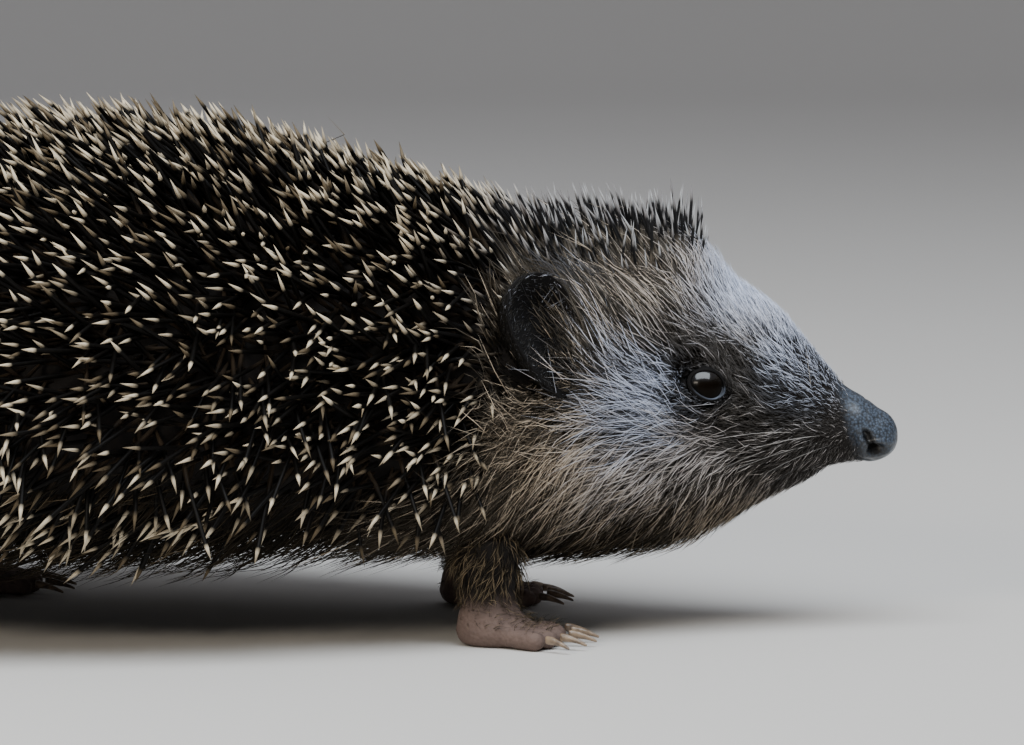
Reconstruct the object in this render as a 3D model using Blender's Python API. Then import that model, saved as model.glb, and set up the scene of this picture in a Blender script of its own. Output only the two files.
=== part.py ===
"""A life-size hedgehog, standing low on four feet with its head level.

Every solid is a part of the body that a person would name, and its outer surface is the reach of the
coat: the tips of the quills on the back, and of the fur elsewhere. The animal faces +X, +Z is up, and
the origin is on the floor under the middle of its length. Places along the body are given by how far
they lie behind the tip of the nose, which is called "back" below.
"""

import math
from collections import namedtuple

import bmesh
import bpy
from mathutils import Matrix, Vector

MM = 0.001
LENGTH = 210 * MM
GAP = 0.3 * MM

NOSE_REAR = 5.2 * MM
NOSE_DEPTH = 6.6 * MM
NOSE_HALF_WIDTH = 4.5 * MM
NOSE_HALF_HEIGHT = 4.6 * MM
NOSE_HEIGHT = 30.4 * MM
NOSE_DROOP = 0.7 * MM
NOSE_TAPER = 0.22
NOSTRIL_BACK = 3.3 * MM
NOSTRIL_OUT = 3.5 * MM
NOSTRIL_HEIGHT = 28.6 * MM
NOSTRIL_RADII = (1.5 * MM, 1.1 * MM, 0.85 * MM)
NOSTRIL_TURN = math.radians(28.0)
NOSTRIL_TILT = math.radians(20.0)

FACE_REAR = 21.5 * MM
MOUTH_FRONT_HEIGHT = 26.3 * MM
MOUTH_REAR_HEIGHT = 24.6 * MM

EYE_RADIUS = 3.6 * MM
EYE_BACK = 30.3 * MM
EYE_OUT = 13.6 * MM
EYE_HEIGHT = 38.6 * MM

EAR_BACK = 55.5 * MM
EAR_OUT = 29.0 * MM
EAR_HEIGHT = 46.5 * MM
EAR_RADII = (6.4 * MM, 4.6 * MM, 10.6 * MM)
EAR_HOLLOW_RADII = (4.9 * MM, 4.0 * MM, 8.6 * MM)
EAR_HOLLOW_SHIFT = (1.8 * MM, 3.1 * MM, 0.4 * MM)  # forward, out and up, along the ear's own axes
EAR_TURN = math.radians(14.0)
EAR_LEAN = math.radians(16.0)
EAR_TILT = math.radians(12.0)

RUFF = 64.5 * MM
RUFF_LEAN = math.radians(15.0)
RUFF_HEIGHT = 38.0 * MM
NECK_LENGTH = 12.0 * MM

RUMP_START = 142.0 * MM
RUMP_DROP = 9.0 * MM  # how far the widest line sinks from the loins to the rear
RUMP_SQUARE = 2.25
RUMP_RINGS = 10
RUMP_CLOSED = 0.05  # the last ring's share of the loins' size

BELLY_START = 58.0 * MM
BELLY_END = 194.0 * MM
BELLY_BLUNTNESS = 0.3

TAIL_START = 184.0 * MM
TAIL_LENGTH = 23.5 * MM
TAIL_HEIGHT = 19.5 * MM
TAIL_DROP = 9.0 * MM
TAIL_RADIUS = 4.3 * MM
TAIL_TIP_RADIUS = 0.7 * MM

FACE_RING_STEP = 1.9
HEAD_RING_STEP = 3.5
TRUNK_RINGS = 8
RING_SIDES = 32
BELLY_SIDES = 24
BELLY_RINGS = 15

# One slice of the body: how far back it lies, how high its top, bottom and widest line are, half its
# width, and how square it is above and below that line, where 2 is an ellipse and less is a wedge.
Slice = namedtuple("Slice", "back top bottom wide_at half_width above below")

BODY = [
    Slice(3.4, 34.6, 25.8, 30.2, 4.7, 2.0, 2.0),  # where the bare nose begins
    Slice(7.5, 37.2, 25.3, 30.2, 5.9, 2.0, 2.1),  # snout
    Slice(11.0, 40.6, 25.0, 29.6, 7.6, 1.8, 2.2),
    Slice(15.3, 46.2, 22.8, 29.0, 10.0, 1.65, 2.2),  # whisker pads, over the chin
    Slice(21.6, 54.0, 19.6, 28.0, 12.8, 1.6, 2.2),  # corner of the mouth
    Slice(26.3, 60.6, 16.6, 27.5, 14.6, 1.8, 2.2),
    Slice(30.3, 66.6, 13.6, 27.5, 16.4, 2.05, 2.2),  # eyes, under the brow
    Slice(35.0, 69.0, 11.6, 28.0, 20.0, 2.35, 2.2),  # front of the crown of quills
    Slice(42.0, 69.6, 10.6, 29.0, 24.8, 2.6, 2.2),
    Slice(55.0, 69.8, 10.0, 30.5, 31.5, 2.6, 2.3),  # ears
    Slice(66.0, 71.6, 11.0, 32.0, 37.5, 2.5, 2.5),  # nape and ruff
    Slice(82.0, 76.0, 15.5, 33.5, 46.5, 2.4, 2.9),  # shoulders
    Slice(100.0, 80.8, 17.0, 34.5, 54.0, 2.35, 3.0),
    Slice(122.0, 83.0, 17.0, 35.0, 58.5, 2.35, 3.0),  # highest
    Slice(142.0, 82.0, 16.5, 34.0, 59.0, 2.35, 3.0),  # broadest, at the loins
]
BELLY = [
    Slice(58.0, 30.0, 9.6, 20.0, 27.0, 2.2, 2.8),  # chest
    Slice(72.0, 30.0, 8.8, 20.0, 35.0, 2.2, 2.8),
    Slice(100.0, 30.0, 8.2, 20.0, 43.0, 2.2, 2.8),
    Slice(140.0, 30.0, 8.2, 20.0, 47.0, 2.2, 2.8),
    Slice(168.0, 30.0, 9.0, 20.0, 43.0, 2.2, 2.8),  # groin
    Slice(194.0, 30.0, 11.0, 20.0, 31.0, 2.2, 2.8),
]

# One foot: where its heel lies, how far out, its toe-out angle, its sole's length and breadth, how far
# the toes reach past it, the claws' length, and how much the leg above it swells and leans forward.
Foot = namedtuple("Foot", "back out turn sole breadth toes claws swell lean")
FEET = {
    "fore_right": Foot(67.0, -23.0, -8.0, 11.5, 12.5, 4.4, 4.4, 3.8, -1.0),
    "fore_left": Foot(73.0, 23.0, 8.0, 11.5, 12.5, 4.4, 4.4, 3.8, -1.0),
    "hind_right": Foot(172.0, -31.0, -12.0, 21.0, 12.0, 4.8, 5.0, 5.2, 4.0),
    "hind_left": Foot(165.0, 31.0, 12.0, 21.0, 12.0, 4.8, 5.0, 5.2, 4.0),
}
SOLE_TRIM = 0.45 * MM
PAD_HEIGHT = 2.6 * MM
PAD_HALF_THICKNESS = 3.5 * MM
TOE_NAMES = ("inner", "second", "middle", "fourth", "outer")
TOE_REACH = (0.72, 0.95, 1.0, 0.93, 0.7)
TOE_SPREAD = math.radians(13.0)
TOE_ROOT_HEIGHT = 2.2 * MM
TOE_TIP_HEIGHT = 1.9 * MM
TOE_ROOT_RADIUS = 2.0 * MM
TOE_TIP_RADIUS = 1.75 * MM
CLAW_RISE = 0.5 * MM  # above the middle of the toe
CLAW_RADIUS = 0.85 * MM
CLAW_NARROWNESS = 0.8
CLAW_TAPER = 0.72
CLAW_DROP = 0.24  # how far the point hangs, as a share of the claw's length
ANKLE_HEIGHT = 6.2 * MM
ANKLE_FORWARD = 4.8 * MM
ANKLE_CENTRE_HEIGHT = 3.8 * MM
ANKLE_RADII = (5.2 * MM, 5.0 * MM, 5.4 * MM)
LEG_RADIUS = 4.8 * MM
LEG_LENGTH = 20.0 * MM
LEG_INWARD = 2.0 * MM

FINISHES = {
    "quills": ((0.055, 0.045, 0.036), 0.45),
    "face_fur": ((0.27, 0.24, 0.21), 0.85),
    "belly_fur": ((0.2, 0.16, 0.125), 0.9),
    "ear_skin": ((0.06, 0.058, 0.06), 0.7),
    "nose_skin": ((0.045, 0.05, 0.06), 0.35),
    "eye": ((0.008, 0.007, 0.006), 0.05),
    "foot_skin": ((0.16, 0.12, 0.1), 0.7),
    "claw": ((0.3, 0.24, 0.18), 0.4),
}


# ------------------------------------------------------------------ small tools


def clear_scene():
    for old in list(bpy.data.objects):
        bpy.data.objects.remove(old)


def make_finishes():
    """One Principled material for each surface of the animal."""
    for name, (colour, roughness) in FINISHES.items():
        material = bpy.data.materials.new(name)
        material.use_nodes = True
        shader = material.node_tree.nodes["Principled BSDF"]
        shader.inputs["Base Color"].default_value = (*colour, 1.0)
        shader.inputs["Roughness"].default_value = roughness
        shader.inputs["Metallic"].default_value = 0.0


def at_back(back, out=0.0, height=0.0):
    """The point that lies this far behind the nose's tip, all in metres."""
    return Vector((LENGTH / 2 - back, out, height))


def mesh_from(shape, name):
    shape.normal_update()
    bmesh.ops.recalc_face_normals(shape, faces=shape.faces)
    mesh = bpy.data.meshes.new(name)
    shape.to_mesh(mesh)
    shape.free()
    return mesh


def add_object(name, mesh, finish=None):
    made = bpy.data.objects.new(name, mesh)
    bpy.context.scene.collection.objects.link(made)
    if finish:
        made.data.materials.clear()
        made.data.materials.append(bpy.data.materials[finish])
        made.data.shade_smooth()
        made.data.set_sharp_from_angle(angle=math.radians(50.0))
    return made


def add_helper(name, mesh):
    """A cutter or a source shape, which isn't part of the animal."""
    made = add_object(name, mesh)
    made.hide_render = True
    made.display_type = "WIRE"
    return made


def combine(name, mesh, others, operation, finish=None):
    """The mesh joined with, or cut by, each of the others, as a new object with nothing left to apply."""
    worked = add_object(name + "_raw", mesh)
    for other in others:
        modifier = worked.modifiers.new(other.name, "BOOLEAN")
        modifier.operation = operation
        modifier.object = other
        modifier.solver = "EXACT"
    bpy.context.view_layer.update()
    graph = bpy.context.evaluated_depsgraph_get()
    result = bpy.data.meshes.new_from_object(worked.evaluated_get(graph))
    bpy.data.objects.remove(worked)
    result.name = name
    return add_object(name, result, finish) if finish else result


def loft(name, rings):
    """A closed tube through rings that all have the same number of points."""
    shape = bmesh.new()
    rows = [[shape.verts.new(point) for point in ring] for ring in rings]
    count = len(rows[0])
    for near, far in zip(rows, rows[1:]):
        for i in range(count):
            j = (i + 1) % count
            shape.faces.new((near[i], near[j], far[j], far[i]))
    shape.faces.new(rows[0])
    shape.faces.new(list(reversed(rows[-1])))
    return mesh_from(shape, name)


def ball(name, centre, radii, turn=None, rings=10, segments=16):
    """An ellipsoid, turned about its own centre."""
    shape = bmesh.new()
    bmesh.ops.create_uvsphere(shape, u_segments=segments, v_segments=rings, radius=1.0)
    place = Matrix.Translation(centre) @ (turn or Matrix.Identity(4)) @ Matrix.Diagonal((*radii, 1.0))
    bmesh.ops.transform(shape, matrix=place, verts=shape.verts)
    return mesh_from(shape, name)


def grown(mesh, by):
    """A copy of a mesh whose surface lies this much further out."""
    shape = bmesh.new()
    shape.from_mesh(mesh)
    shape.normal_update()
    moves = [(vert, vert.co + vert.normal * by) for vert in shape.verts]
    for vert, place in moves:
        vert.co = place
    return mesh_from(shape, mesh.name + "_grown")


def trimmed(mesh, planes):
    """The part of a closed mesh behind each plane, which is a point and the normal of the side to drop."""
    shape = bmesh.new()
    shape.from_mesh(mesh)
    for point, normal in planes:
        everything = [*shape.verts, *shape.edges, *shape.faces]
        cut = bmesh.ops.bisect_plane(
            shape, geom=everything, dist=1e-7, plane_co=point, plane_no=normal, clear_outer=True
        )
        rim = [item for item in cut["geom_cut"] if isinstance(item, bmesh.types.BMEdge)]
        bmesh.ops.edgeloop_fill(shape, edges=rim)
    return mesh_from(shape, mesh.name + "_trimmed")


# ------------------------------------------------------------------ slices of the body


def slice_at(slices, back):
    """The slice at a place between the named ones, on a smooth curve through them. Works in millimetres."""
    spots = [part.back for part in slices]
    after = min(max(1, sum(spot <= back for spot in spots)), len(slices) - 1)
    first, last = slices[after - 1], slices[after]
    before = slices[max(after - 2, 0)]
    beyond = slices[min(after + 1, len(slices) - 1)]
    span = last.back - first.back
    share = (back - first.back) / span

    def eased(field):
        values = [getattr(part, field) for part in (before, first, last, beyond)]
        rise_in = span * (values[2] - values[0]) / (last.back - before.back)
        rise_out = span * (values[3] - values[1]) / (beyond.back - first.back)
        square, cube = share**2, share**3
        return (
            values[1] * (2 * cube - 3 * square + 1)
            + rise_in * (cube - 2 * square + share)
            + values[2] * (3 * square - 2 * cube)
            + rise_out * (cube - square)
        )

    return Slice(back, *[eased(field) for field in Slice._fields[1:]])


def ring_of(part, sides, shrink=1.0):
    """The points of a slice, from its top round by the left side, drawn in towards its widest line."""
    points = []
    for i in range(sides):
        angle = 2 * math.pi * i / sides
        across, up = math.sin(angle), math.cos(angle)
        square = part.above if up > 0 else part.below
        rise = part.top - part.wide_at if up > 0 else part.wide_at - part.bottom
        out = math.copysign(abs(across) ** (2 / square), across) * part.half_width * shrink
        height = part.wide_at + math.copysign(abs(up) ** (2 / square), up) * rise * shrink
        points.append(at_back(part.back * MM, out * MM, height * MM))
    return points


def body_rings():
    """Rings from the bare nose to the rump, close together on the face, where the form changes fast."""
    backs = [BODY[0].back]
    while backs[-1] < EYE_BACK / MM + FACE_RING_STEP:
        backs.append(backs[-1] + FACE_RING_STEP)
    while backs[-1] < RUFF / MM:
        backs.append(backs[-1] + HEAD_RING_STEP)
    step = (RUMP_START / MM - backs[-1]) / TRUNK_RINGS
    backs += [backs[-1] + step * i for i in range(1, TRUNK_RINGS + 1)]
    rings = [ring_of(slice_at(BODY, back), RING_SIDES) for back in backs]
    # The rump closes as a quarter of an oval that ends at the animal's full length.
    last, depth = BODY[-1], (LENGTH - RUMP_START) / MM
    for i in range(1, RUMP_RINGS + 1):
        turn = 0.5 * math.pi * i / RUMP_RINGS
        reach = math.sin(turn) ** (2 / RUMP_SQUARE)
        shrink = max(math.cos(turn) ** (2 / RUMP_SQUARE), RUMP_CLOSED)
        drop = RUMP_DROP / MM * reach**2
        ended = last._replace(
            back=last.back + depth * reach, top=last.top - drop, wide_at=last.wide_at - drop
        )
        rings.append(ring_of(ended, RING_SIDES, shrink))
    return rings


def ruff_plane(back):
    """A plane across the body that leans as the edge of the ruff does, and faces forward."""
    normal = Vector((math.cos(RUFF_LEAN), 0.0, -math.sin(RUFF_LEAN)))
    return at_back(back, 0.0, RUFF_HEIGHT), normal


def between(front, rear):
    """The planes that keep what lies between two planes facing forward, less half a gap at each."""
    planes = []
    if front:
        planes.append((front[0] - front[1] * GAP / 2, front[1]))
    if rear:
        planes.append((rear[0] + rear[1] * GAP / 2, -rear[1]))
    return planes


# ------------------------------------------------------------------ head, neck and trunk


def make_eyes():
    """The eyeballs, and a slightly larger ball for each that hollows its socket."""
    sockets = []
    for name, side in (("eye_right", -1), ("eye_left", 1)):
        place = at_back(EYE_BACK, side * EYE_OUT, EYE_HEIGHT)
        add_object(name, ball(name, place, (EYE_RADIUS,) * 3, rings=9, segments=14), "eye")
        socket = ball(name + "_socket", place, (EYE_RADIUS + GAP,) * 3, rings=9, segments=14)
        sockets.append(add_helper(name + "_socket", socket))
    return sockets


def make_nose():
    """The bare nose: a short rounded pad, overhanging the lip, with a nostril hollowed in each side."""
    shape = bmesh.new()
    bmesh.ops.create_uvsphere(shape, u_segments=18, v_segments=12, radius=1.0)
    for vert in shape.verts:
        forward, out, up = vert.co
        narrowing = 1.0 - NOSE_TAPER * max(forward, 0.0)
        height = NOSE_HEIGHT + up * NOSE_HALF_HEIGHT * narrowing - forward * NOSE_DROOP
        vert.co = at_back(NOSE_DEPTH * (1.0 - forward), out * NOSE_HALF_WIDTH * narrowing, height)
    pad = trimmed(mesh_from(shape, "pad"), [(at_back(NOSE_REAR - GAP / 2), Vector((-1, 0, 0)))])
    nostrils = []
    for side in (-1, 1):
        turn = Matrix.Rotation(-NOSTRIL_TURN * side, 4, "Z") @ Matrix.Rotation(NOSTRIL_TILT, 4, "Y")
        centre = at_back(NOSTRIL_BACK, side * NOSTRIL_OUT, NOSTRIL_HEIGHT)
        nostrils.append(add_helper("nostril_hollow", ball("nostril", centre, NOSTRIL_RADII, turn, 8, 10)))
    combine("nose", pad, nostrils, "DIFFERENCE", "nose_skin")


def make_head_and_trunk():
    """The whole body as one form, parted across by thin cuts, with the mouth as a cut of its own."""
    whole = loft("body", body_rings())
    sockets = make_eyes()
    forward = Vector((1, 0, 0))
    nose_cut = (at_back(NOSE_REAR), forward)
    face_cut = (at_back(FACE_REAR), forward)
    head_cut = ruff_plane(RUFF)
    trunk_cut = ruff_plane(RUFF + NECK_LENGTH)
    mouth = at_back(NOSE_REAR, 0, MOUTH_FRONT_HEIGHT)
    mouth_run = mouth - at_back(FACE_REAR, 0, MOUTH_REAR_HEIGHT)
    mouth_up = Vector((-mouth_run.z, 0, mouth_run.x)).normalized()
    face = trimmed(whole, between(nose_cut, face_cut))
    add_object("muzzle", trimmed(face, [(mouth + mouth_up * GAP, -mouth_up)]), "face_fur")
    add_object("jaw", trimmed(face, [(mouth - mouth_up * GAP, mouth_up)]), "face_fur")
    combine("head", trimmed(whole, between(face_cut, head_cut)), sockets, "DIFFERENCE", "face_fur")
    add_object("neck", trimmed(whole, between(head_cut, trunk_cut)), "quills")
    add_object("trunk", trimmed(whole, between(trunk_cut, None)), "quills")
    return whole


def make_belly(whole):
    """The furred underside, cut to lie under the quilled back."""
    clearance = add_helper("body_clearance", grown(whole, GAP))
    rings = []
    for i in range(BELLY_RINGS):
        back = BELLY_START + (BELLY_END - BELLY_START) * i / (BELLY_RINGS - 1)
        closing = math.sin(math.pi * (i + 0.5) / BELLY_RINGS) ** BELLY_BLUNTNESS
        rings.append(ring_of(slice_at(BELLY, back / MM), BELLY_SIDES, closing))
    form = loft("belly_form", rings)
    combine("belly", form, [clearance], "DIFFERENCE", "belly_fur")
    return clearance, add_helper("belly_clearance", grown(form, GAP))


# ------------------------------------------------------------------ ears and tail


def make_ears(clearance):
    """Low rounded cups that stand a little out of the fur, hollow on the side that faces out and forward."""
    for side, name in ((-1, "ear_right"), (1, "ear_left")):
        centre = at_back(EAR_BACK, side * EAR_OUT, EAR_HEIGHT)
        turn = Matrix.Rotation(-EAR_TURN * side, 4, "Z") @ Matrix.Rotation(EAR_LEAN * side, 4, "X")
        turn = turn @ Matrix.Rotation(-EAR_TILT, 4, "Y")
        shell = ball(name + "_shell", centre, EAR_RADII, turn, 10, 14)
        forward, out, up = EAR_HOLLOW_SHIFT
        hollow_centre = centre + turn.to_3x3() @ Vector((forward, side * out, up))
        cup = add_helper(name + "_cup", ball(name + "_hollow", hollow_centre, EAR_HOLLOW_RADII, turn, 8, 12))
        ear = combine(name, shell, [cup, clearance], "DIFFERENCE")
        add_object(name, largest_piece(ear), "ear_skin")


def largest_piece(mesh):
    """A mesh with all but its largest connected piece taken away."""
    shape = bmesh.new()
    shape.from_mesh(mesh)
    waiting, pieces = set(shape.verts), []
    while waiting:
        grow, piece = [waiting.pop()], set()
        while grow:
            vert = grow.pop()
            piece.add(vert)
            for edge in vert.link_edges:
                other = edge.other_vert(vert)
                if other in waiting:
                    waiting.discard(other)
                    grow.append(other)
        pieces.append(piece)
    kept = max(pieces, key=len)
    bmesh.ops.delete(shape, geom=[vert for vert in shape.verts if vert not in kept], context="VERTS")
    return mesh_from(shape, mesh.name)


def make_tail(clearances):
    """A short bare-tipped tail, carried low under the last quills."""
    rings = []
    steps, sides = 6, 10
    for i in range(steps + 1):
        share = i / steps
        centre = at_back(TAIL_START + TAIL_LENGTH * share, 0.0, TAIL_HEIGHT - TAIL_DROP * share**1.3)
        radius = TAIL_TIP_RADIUS + (TAIL_RADIUS - TAIL_TIP_RADIUS) * (1 - share) ** 0.6
        turns = [2 * math.pi * j / sides for j in range(sides)]
        rings.append([centre + Vector((0, math.sin(t), math.cos(t))) * radius for t in turns])
    tail = combine("tail", loft("tail_form", rings), clearances, "DIFFERENCE")
    add_object("tail", largest_piece(tail), "belly_fur")


# ------------------------------------------------------------------ legs and feet


def limb(name, points, radii, sides=12):
    """A round tapered tube with level rings, for a leg that rises from its foot."""
    rings = []
    for point, radius in zip(points, radii):
        turns = [2 * math.pi * i / sides for i in range(sides)]
        rings.append([point + Vector((math.cos(t), math.sin(t), 0)) * radius for t in turns])
    return loft(name, rings)


def capsule(name, start, end, radius_start, radius_end, sides=7, rings=2):
    """A toe: a tapered rod with round ends."""
    along = (end - start).normalized()
    turn = along.to_track_quat("Z", "Y").to_matrix()
    rows = []
    for centre, radius, sign in ((start, radius_start, -1), (end, radius_end, 1)):
        for i in range(rings):
            share = (i + 0.35) / rings if sign > 0 else 1 - (i + 0.35) / rings
            swing = 0.5 * math.pi * share
            reach, width = math.sin(swing) * radius * sign, math.cos(swing) * radius
            turns = [2 * math.pi * j / sides for j in range(sides)]
            circle = [Vector((math.cos(t) * width, math.sin(t) * width, reach)) for t in turns]
            rows.append([centre + turn @ spot for spot in circle])
    return loft(name, rows)


def claw(name, root, heading, length):
    """A narrow claw that leaves the toe level and bends down to a blunt point just above the floor."""
    steps, sides = 3, 6
    rings = []
    up = Vector((0, 0, 1))
    beside = Vector((-heading.y, heading.x, 0)) * CLAW_NARROWNESS
    for i in range(steps + 1):
        share = i / steps
        centre = root + heading * length * share - up * length * CLAW_DROP * share**2
        radius = CLAW_RADIUS * (1 - CLAW_TAPER * share)
        turns = [2 * math.pi * j / sides for j in range(sides)]
        rings.append([centre + (beside * math.cos(t) + up * math.sin(t)) * radius for t in turns])
    return loft(name, rings)


def make_foot(place, foot):
    """A flat-soled foot with five toes, and a claw in front of each toe."""
    side = math.copysign(1, foot.out)
    heading = Matrix.Rotation(math.radians(foot.turn), 3, "Z") @ Vector((1, 0, 0))
    beside = Vector((-heading.y, heading.x, 0))
    heel = at_back(foot.back * MM, foot.out * MM)
    pad_middle = heel + heading * foot.sole * 0.5 * MM + Vector((0, 0, PAD_HEIGHT))
    turn = Matrix.Rotation(math.radians(foot.turn), 4, "Z")
    radii = (foot.sole * 0.56 * MM, foot.breadth * 0.44 * MM, PAD_HALF_THICKNESS)
    pad = ball("pad", pad_middle, radii, turn, 8, 12)
    ankle = heel + heading * ANKLE_FORWARD + Vector((0, 0, ANKLE_CENTRE_HEIGHT))
    joined, claws = [add_helper("ankle_form", ball("ankle", ankle, ANKLE_RADII, turn, 8, 12))], []
    for i, name in enumerate(TOE_NAMES):
        offset = (i - 2) * side
        splay = Matrix.Rotation(TOE_SPREAD * offset, 3, "Z") @ heading
        root = heel + heading * foot.sole * 0.72 * MM + beside * foot.breadth * 0.155 * offset * MM
        root.z = TOE_ROOT_HEIGHT
        tip = root + splay * (foot.sole * 0.2 + foot.toes * TOE_REACH[i]) * MM
        tip.z = TOE_TIP_HEIGHT
        joined.append(add_helper("toe_form", capsule("toe", root, tip, TOE_ROOT_RADIUS, TOE_TIP_RADIUS)))
        nail = tip + splay * (TOE_TIP_RADIUS + GAP) + Vector((0, 0, CLAW_RISE))
        claws.append((name, claw("claw", nail, splay, foot.claws * MM)))
    foot_mesh = combine(place + "_foot", pad, joined, "UNION")
    below_ankle = (Vector((0, 0, ANKLE_HEIGHT - GAP / 2)), Vector((0, 0, 1)))
    sole = trimmed(foot_mesh, [(Vector((0, 0, SOLE_TRIM)), Vector((0, 0, -1))), below_ankle])
    sole.transform(Matrix.Translation((0, 0, -SOLE_TRIM)))
    add_object(place + "_foot", sole, "foot_skin")
    for name, mesh in claws:
        mesh.transform(Matrix.Translation((0, 0, -SOLE_TRIM)))
        add_object(f"{place}_claw_{name}", mesh, "claw")


def make_leg(place, foot, clearances):
    """The short visible length of a leg, from the top of its foot up into the coat of the belly."""
    heading = Matrix.Rotation(math.radians(foot.turn), 3, "Z") @ Vector((1, 0, 0))
    ankle = at_back(foot.back * MM, foot.out * MM) + heading * ANKLE_FORWARD
    ankle.z = ANKLE_HEIGHT - SOLE_TRIM + GAP / 2
    rise = Vector((foot.lean * MM, -math.copysign(LEG_INWARD, foot.out), LEG_LENGTH))
    steps = 5
    points = [ankle + rise * (i / steps) for i in range(steps + 1)]
    radii = [LEG_RADIUS + foot.swell * MM * (i / steps) ** 0.8 for i in range(steps + 1)]
    leg = combine(place + "_leg", limb("leg", points, radii), clearances, "DIFFERENCE")
    add_object(place + "_leg", largest_piece(leg), "belly_fur")


# ------------------------------------------------------------------ the animal


def main():
    clear_scene()
    make_finishes()
    whole = make_head_and_trunk()
    make_nose()
    clearance, belly_clearance = make_belly(whole)
    make_ears(clearance)
    make_tail([clearance, belly_clearance])
    for place, foot in FEET.items():
        make_foot(place, foot)
        make_leg(place, foot, [clearance, belly_clearance])


main()
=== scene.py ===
"""Skin, coat, eyes, claws and stage for a life-size hedgehog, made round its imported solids.

The solids reach out to the tips of the coat. The skin is that outline sunk by the depth of the coat,
and quills and hair grow from it again, so the finished animal keeps the solids' size. It faces +X.
"""

import math
from contextlib import contextmanager
from functools import partial

import bmesh
import bpy
import numpy as np
from bpy.props import FloatProperty, FloatVectorProperty, PointerProperty
from mathutils import Matrix, Vector
from mathutils.bvhtree import BVHTree


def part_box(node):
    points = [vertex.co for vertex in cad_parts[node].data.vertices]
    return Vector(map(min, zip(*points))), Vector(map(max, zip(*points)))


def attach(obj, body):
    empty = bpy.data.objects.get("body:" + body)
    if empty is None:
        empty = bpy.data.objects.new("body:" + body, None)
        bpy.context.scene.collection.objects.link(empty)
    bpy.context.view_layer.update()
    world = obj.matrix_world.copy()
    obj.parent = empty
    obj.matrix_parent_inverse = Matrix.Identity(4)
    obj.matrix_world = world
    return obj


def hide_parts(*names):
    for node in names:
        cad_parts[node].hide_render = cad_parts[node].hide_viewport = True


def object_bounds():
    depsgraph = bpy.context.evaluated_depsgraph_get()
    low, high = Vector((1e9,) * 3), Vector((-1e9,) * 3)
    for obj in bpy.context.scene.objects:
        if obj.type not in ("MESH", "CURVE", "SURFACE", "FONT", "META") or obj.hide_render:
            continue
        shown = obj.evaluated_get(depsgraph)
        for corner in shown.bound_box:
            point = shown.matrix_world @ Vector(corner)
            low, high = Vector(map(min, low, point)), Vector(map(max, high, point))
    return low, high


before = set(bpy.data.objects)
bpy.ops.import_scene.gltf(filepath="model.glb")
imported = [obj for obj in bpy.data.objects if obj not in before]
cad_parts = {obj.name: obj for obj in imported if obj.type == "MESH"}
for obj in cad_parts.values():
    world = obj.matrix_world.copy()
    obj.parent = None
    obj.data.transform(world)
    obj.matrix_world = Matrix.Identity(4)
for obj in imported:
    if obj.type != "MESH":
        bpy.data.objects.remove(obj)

bl_info = {
    "name": "Hedgehog",
    "version": (1, 0, 0),
    "blender": (4, 5, 0),
    "location": "View3D > Sidebar > Hedgehog",
    "description": "Dresses the packed solids of a hedgehog in skin, quills and fur",
    "category": "Object",
}

MM = 0.001
CAD_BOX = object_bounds()
NOSE_X = CAD_BOX[1].x
SIDES = {"right": -1.0, "left": 1.0}
PLACES = ("fore_right", "fore_left", "hind_right", "hind_left")
BODY_NODES = ("nose", "muzzle", "jaw", "head", "neck", "trunk", "belly")
FLESH_NODES = BODY_NODES + ("tail", "ear_right", "ear_left")
PATCH = 0.003  # how much of a coat piece's map one tuft takes up
OPENING = 0.73  # the height of the opening between the lids, as a share of its length
CORNER = 0.34  # how far the opening narrows to its front corner


# ------------------------------------------------------------------ sizes and colours


def size(name, text, default):
    """A length that a user may change, in metres."""
    return FloatProperty(name=name, description=text, default=default, unit="LENGTH", precision=5)


def colour(name, text, default):
    """A colour that a user may change."""
    return FloatVectorProperty(
        name=name, description=text, default=default, subtype="COLOR", size=3, min=0.0, max=1.0
    )


def number(name, text, default):
    """A plain number that a user may change."""
    return FloatProperty(name=name, description=text, default=default)


def angle(name, text, degrees):
    """An angle that a user may change, given in degrees."""
    return FloatProperty(name=name, description=text, default=math.radians(degrees), subtype="ANGLE")


class HEDGEHOG_PG_sizes(bpy.types.PropertyGroup):
    """Sizes of the coat, the eyes and the ears."""

    quill_length: size("Quill length", "Length of a quill on the back", 19.5 * MM)
    quill_radius: size("Quill radius", "Radius of a quill at its thickest", 0.42 * MM)
    quill_gap: size("Quill gap", "Least distance between the roots of two quills", 1.42 * MM)
    crown_length: size("Crown quill length", "Length of the upright quills on the head", 13.0 * MM)
    crown_crowding: number("Crown crowding", "The crown's quill gap, as a share of the back's", 0.97)
    whisker_radius: size("Whisker radius", "Radius of a whisker at its root", 0.055 * MM)
    hair_radius: size("Hair radius", "Radius of a coarse hair at its root", 0.085 * MM)
    fine_radius: size("Fine hair radius", "Radius of a hair of the muzzle at its root", 0.056 * MM)
    ear_hair_radius: size("Ear hair radius", "Radius of a hair of the ears at its root", 0.04 * MM)
    eye_opening: size("Eye opening", "Length of the opening between the lids", 5.9 * MM)
    ear_half_width: size("Ear half width", "Half the width of the ear's cup", 5.6 * MM)
    ear_half_height: size("Ear half height", "Half the height of the ear's cup", 9.8 * MM)
    ear_turn: angle("Ear turn", "How far the ear's cup turns to the front", 27.0)
    ear_lean: angle("Ear lean", "How far the ear's top leans in over the head", 9.0)
    ear_tilt: angle("Ear tilt", "How far the ear's top tilts to the rear", 15.0)


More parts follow.
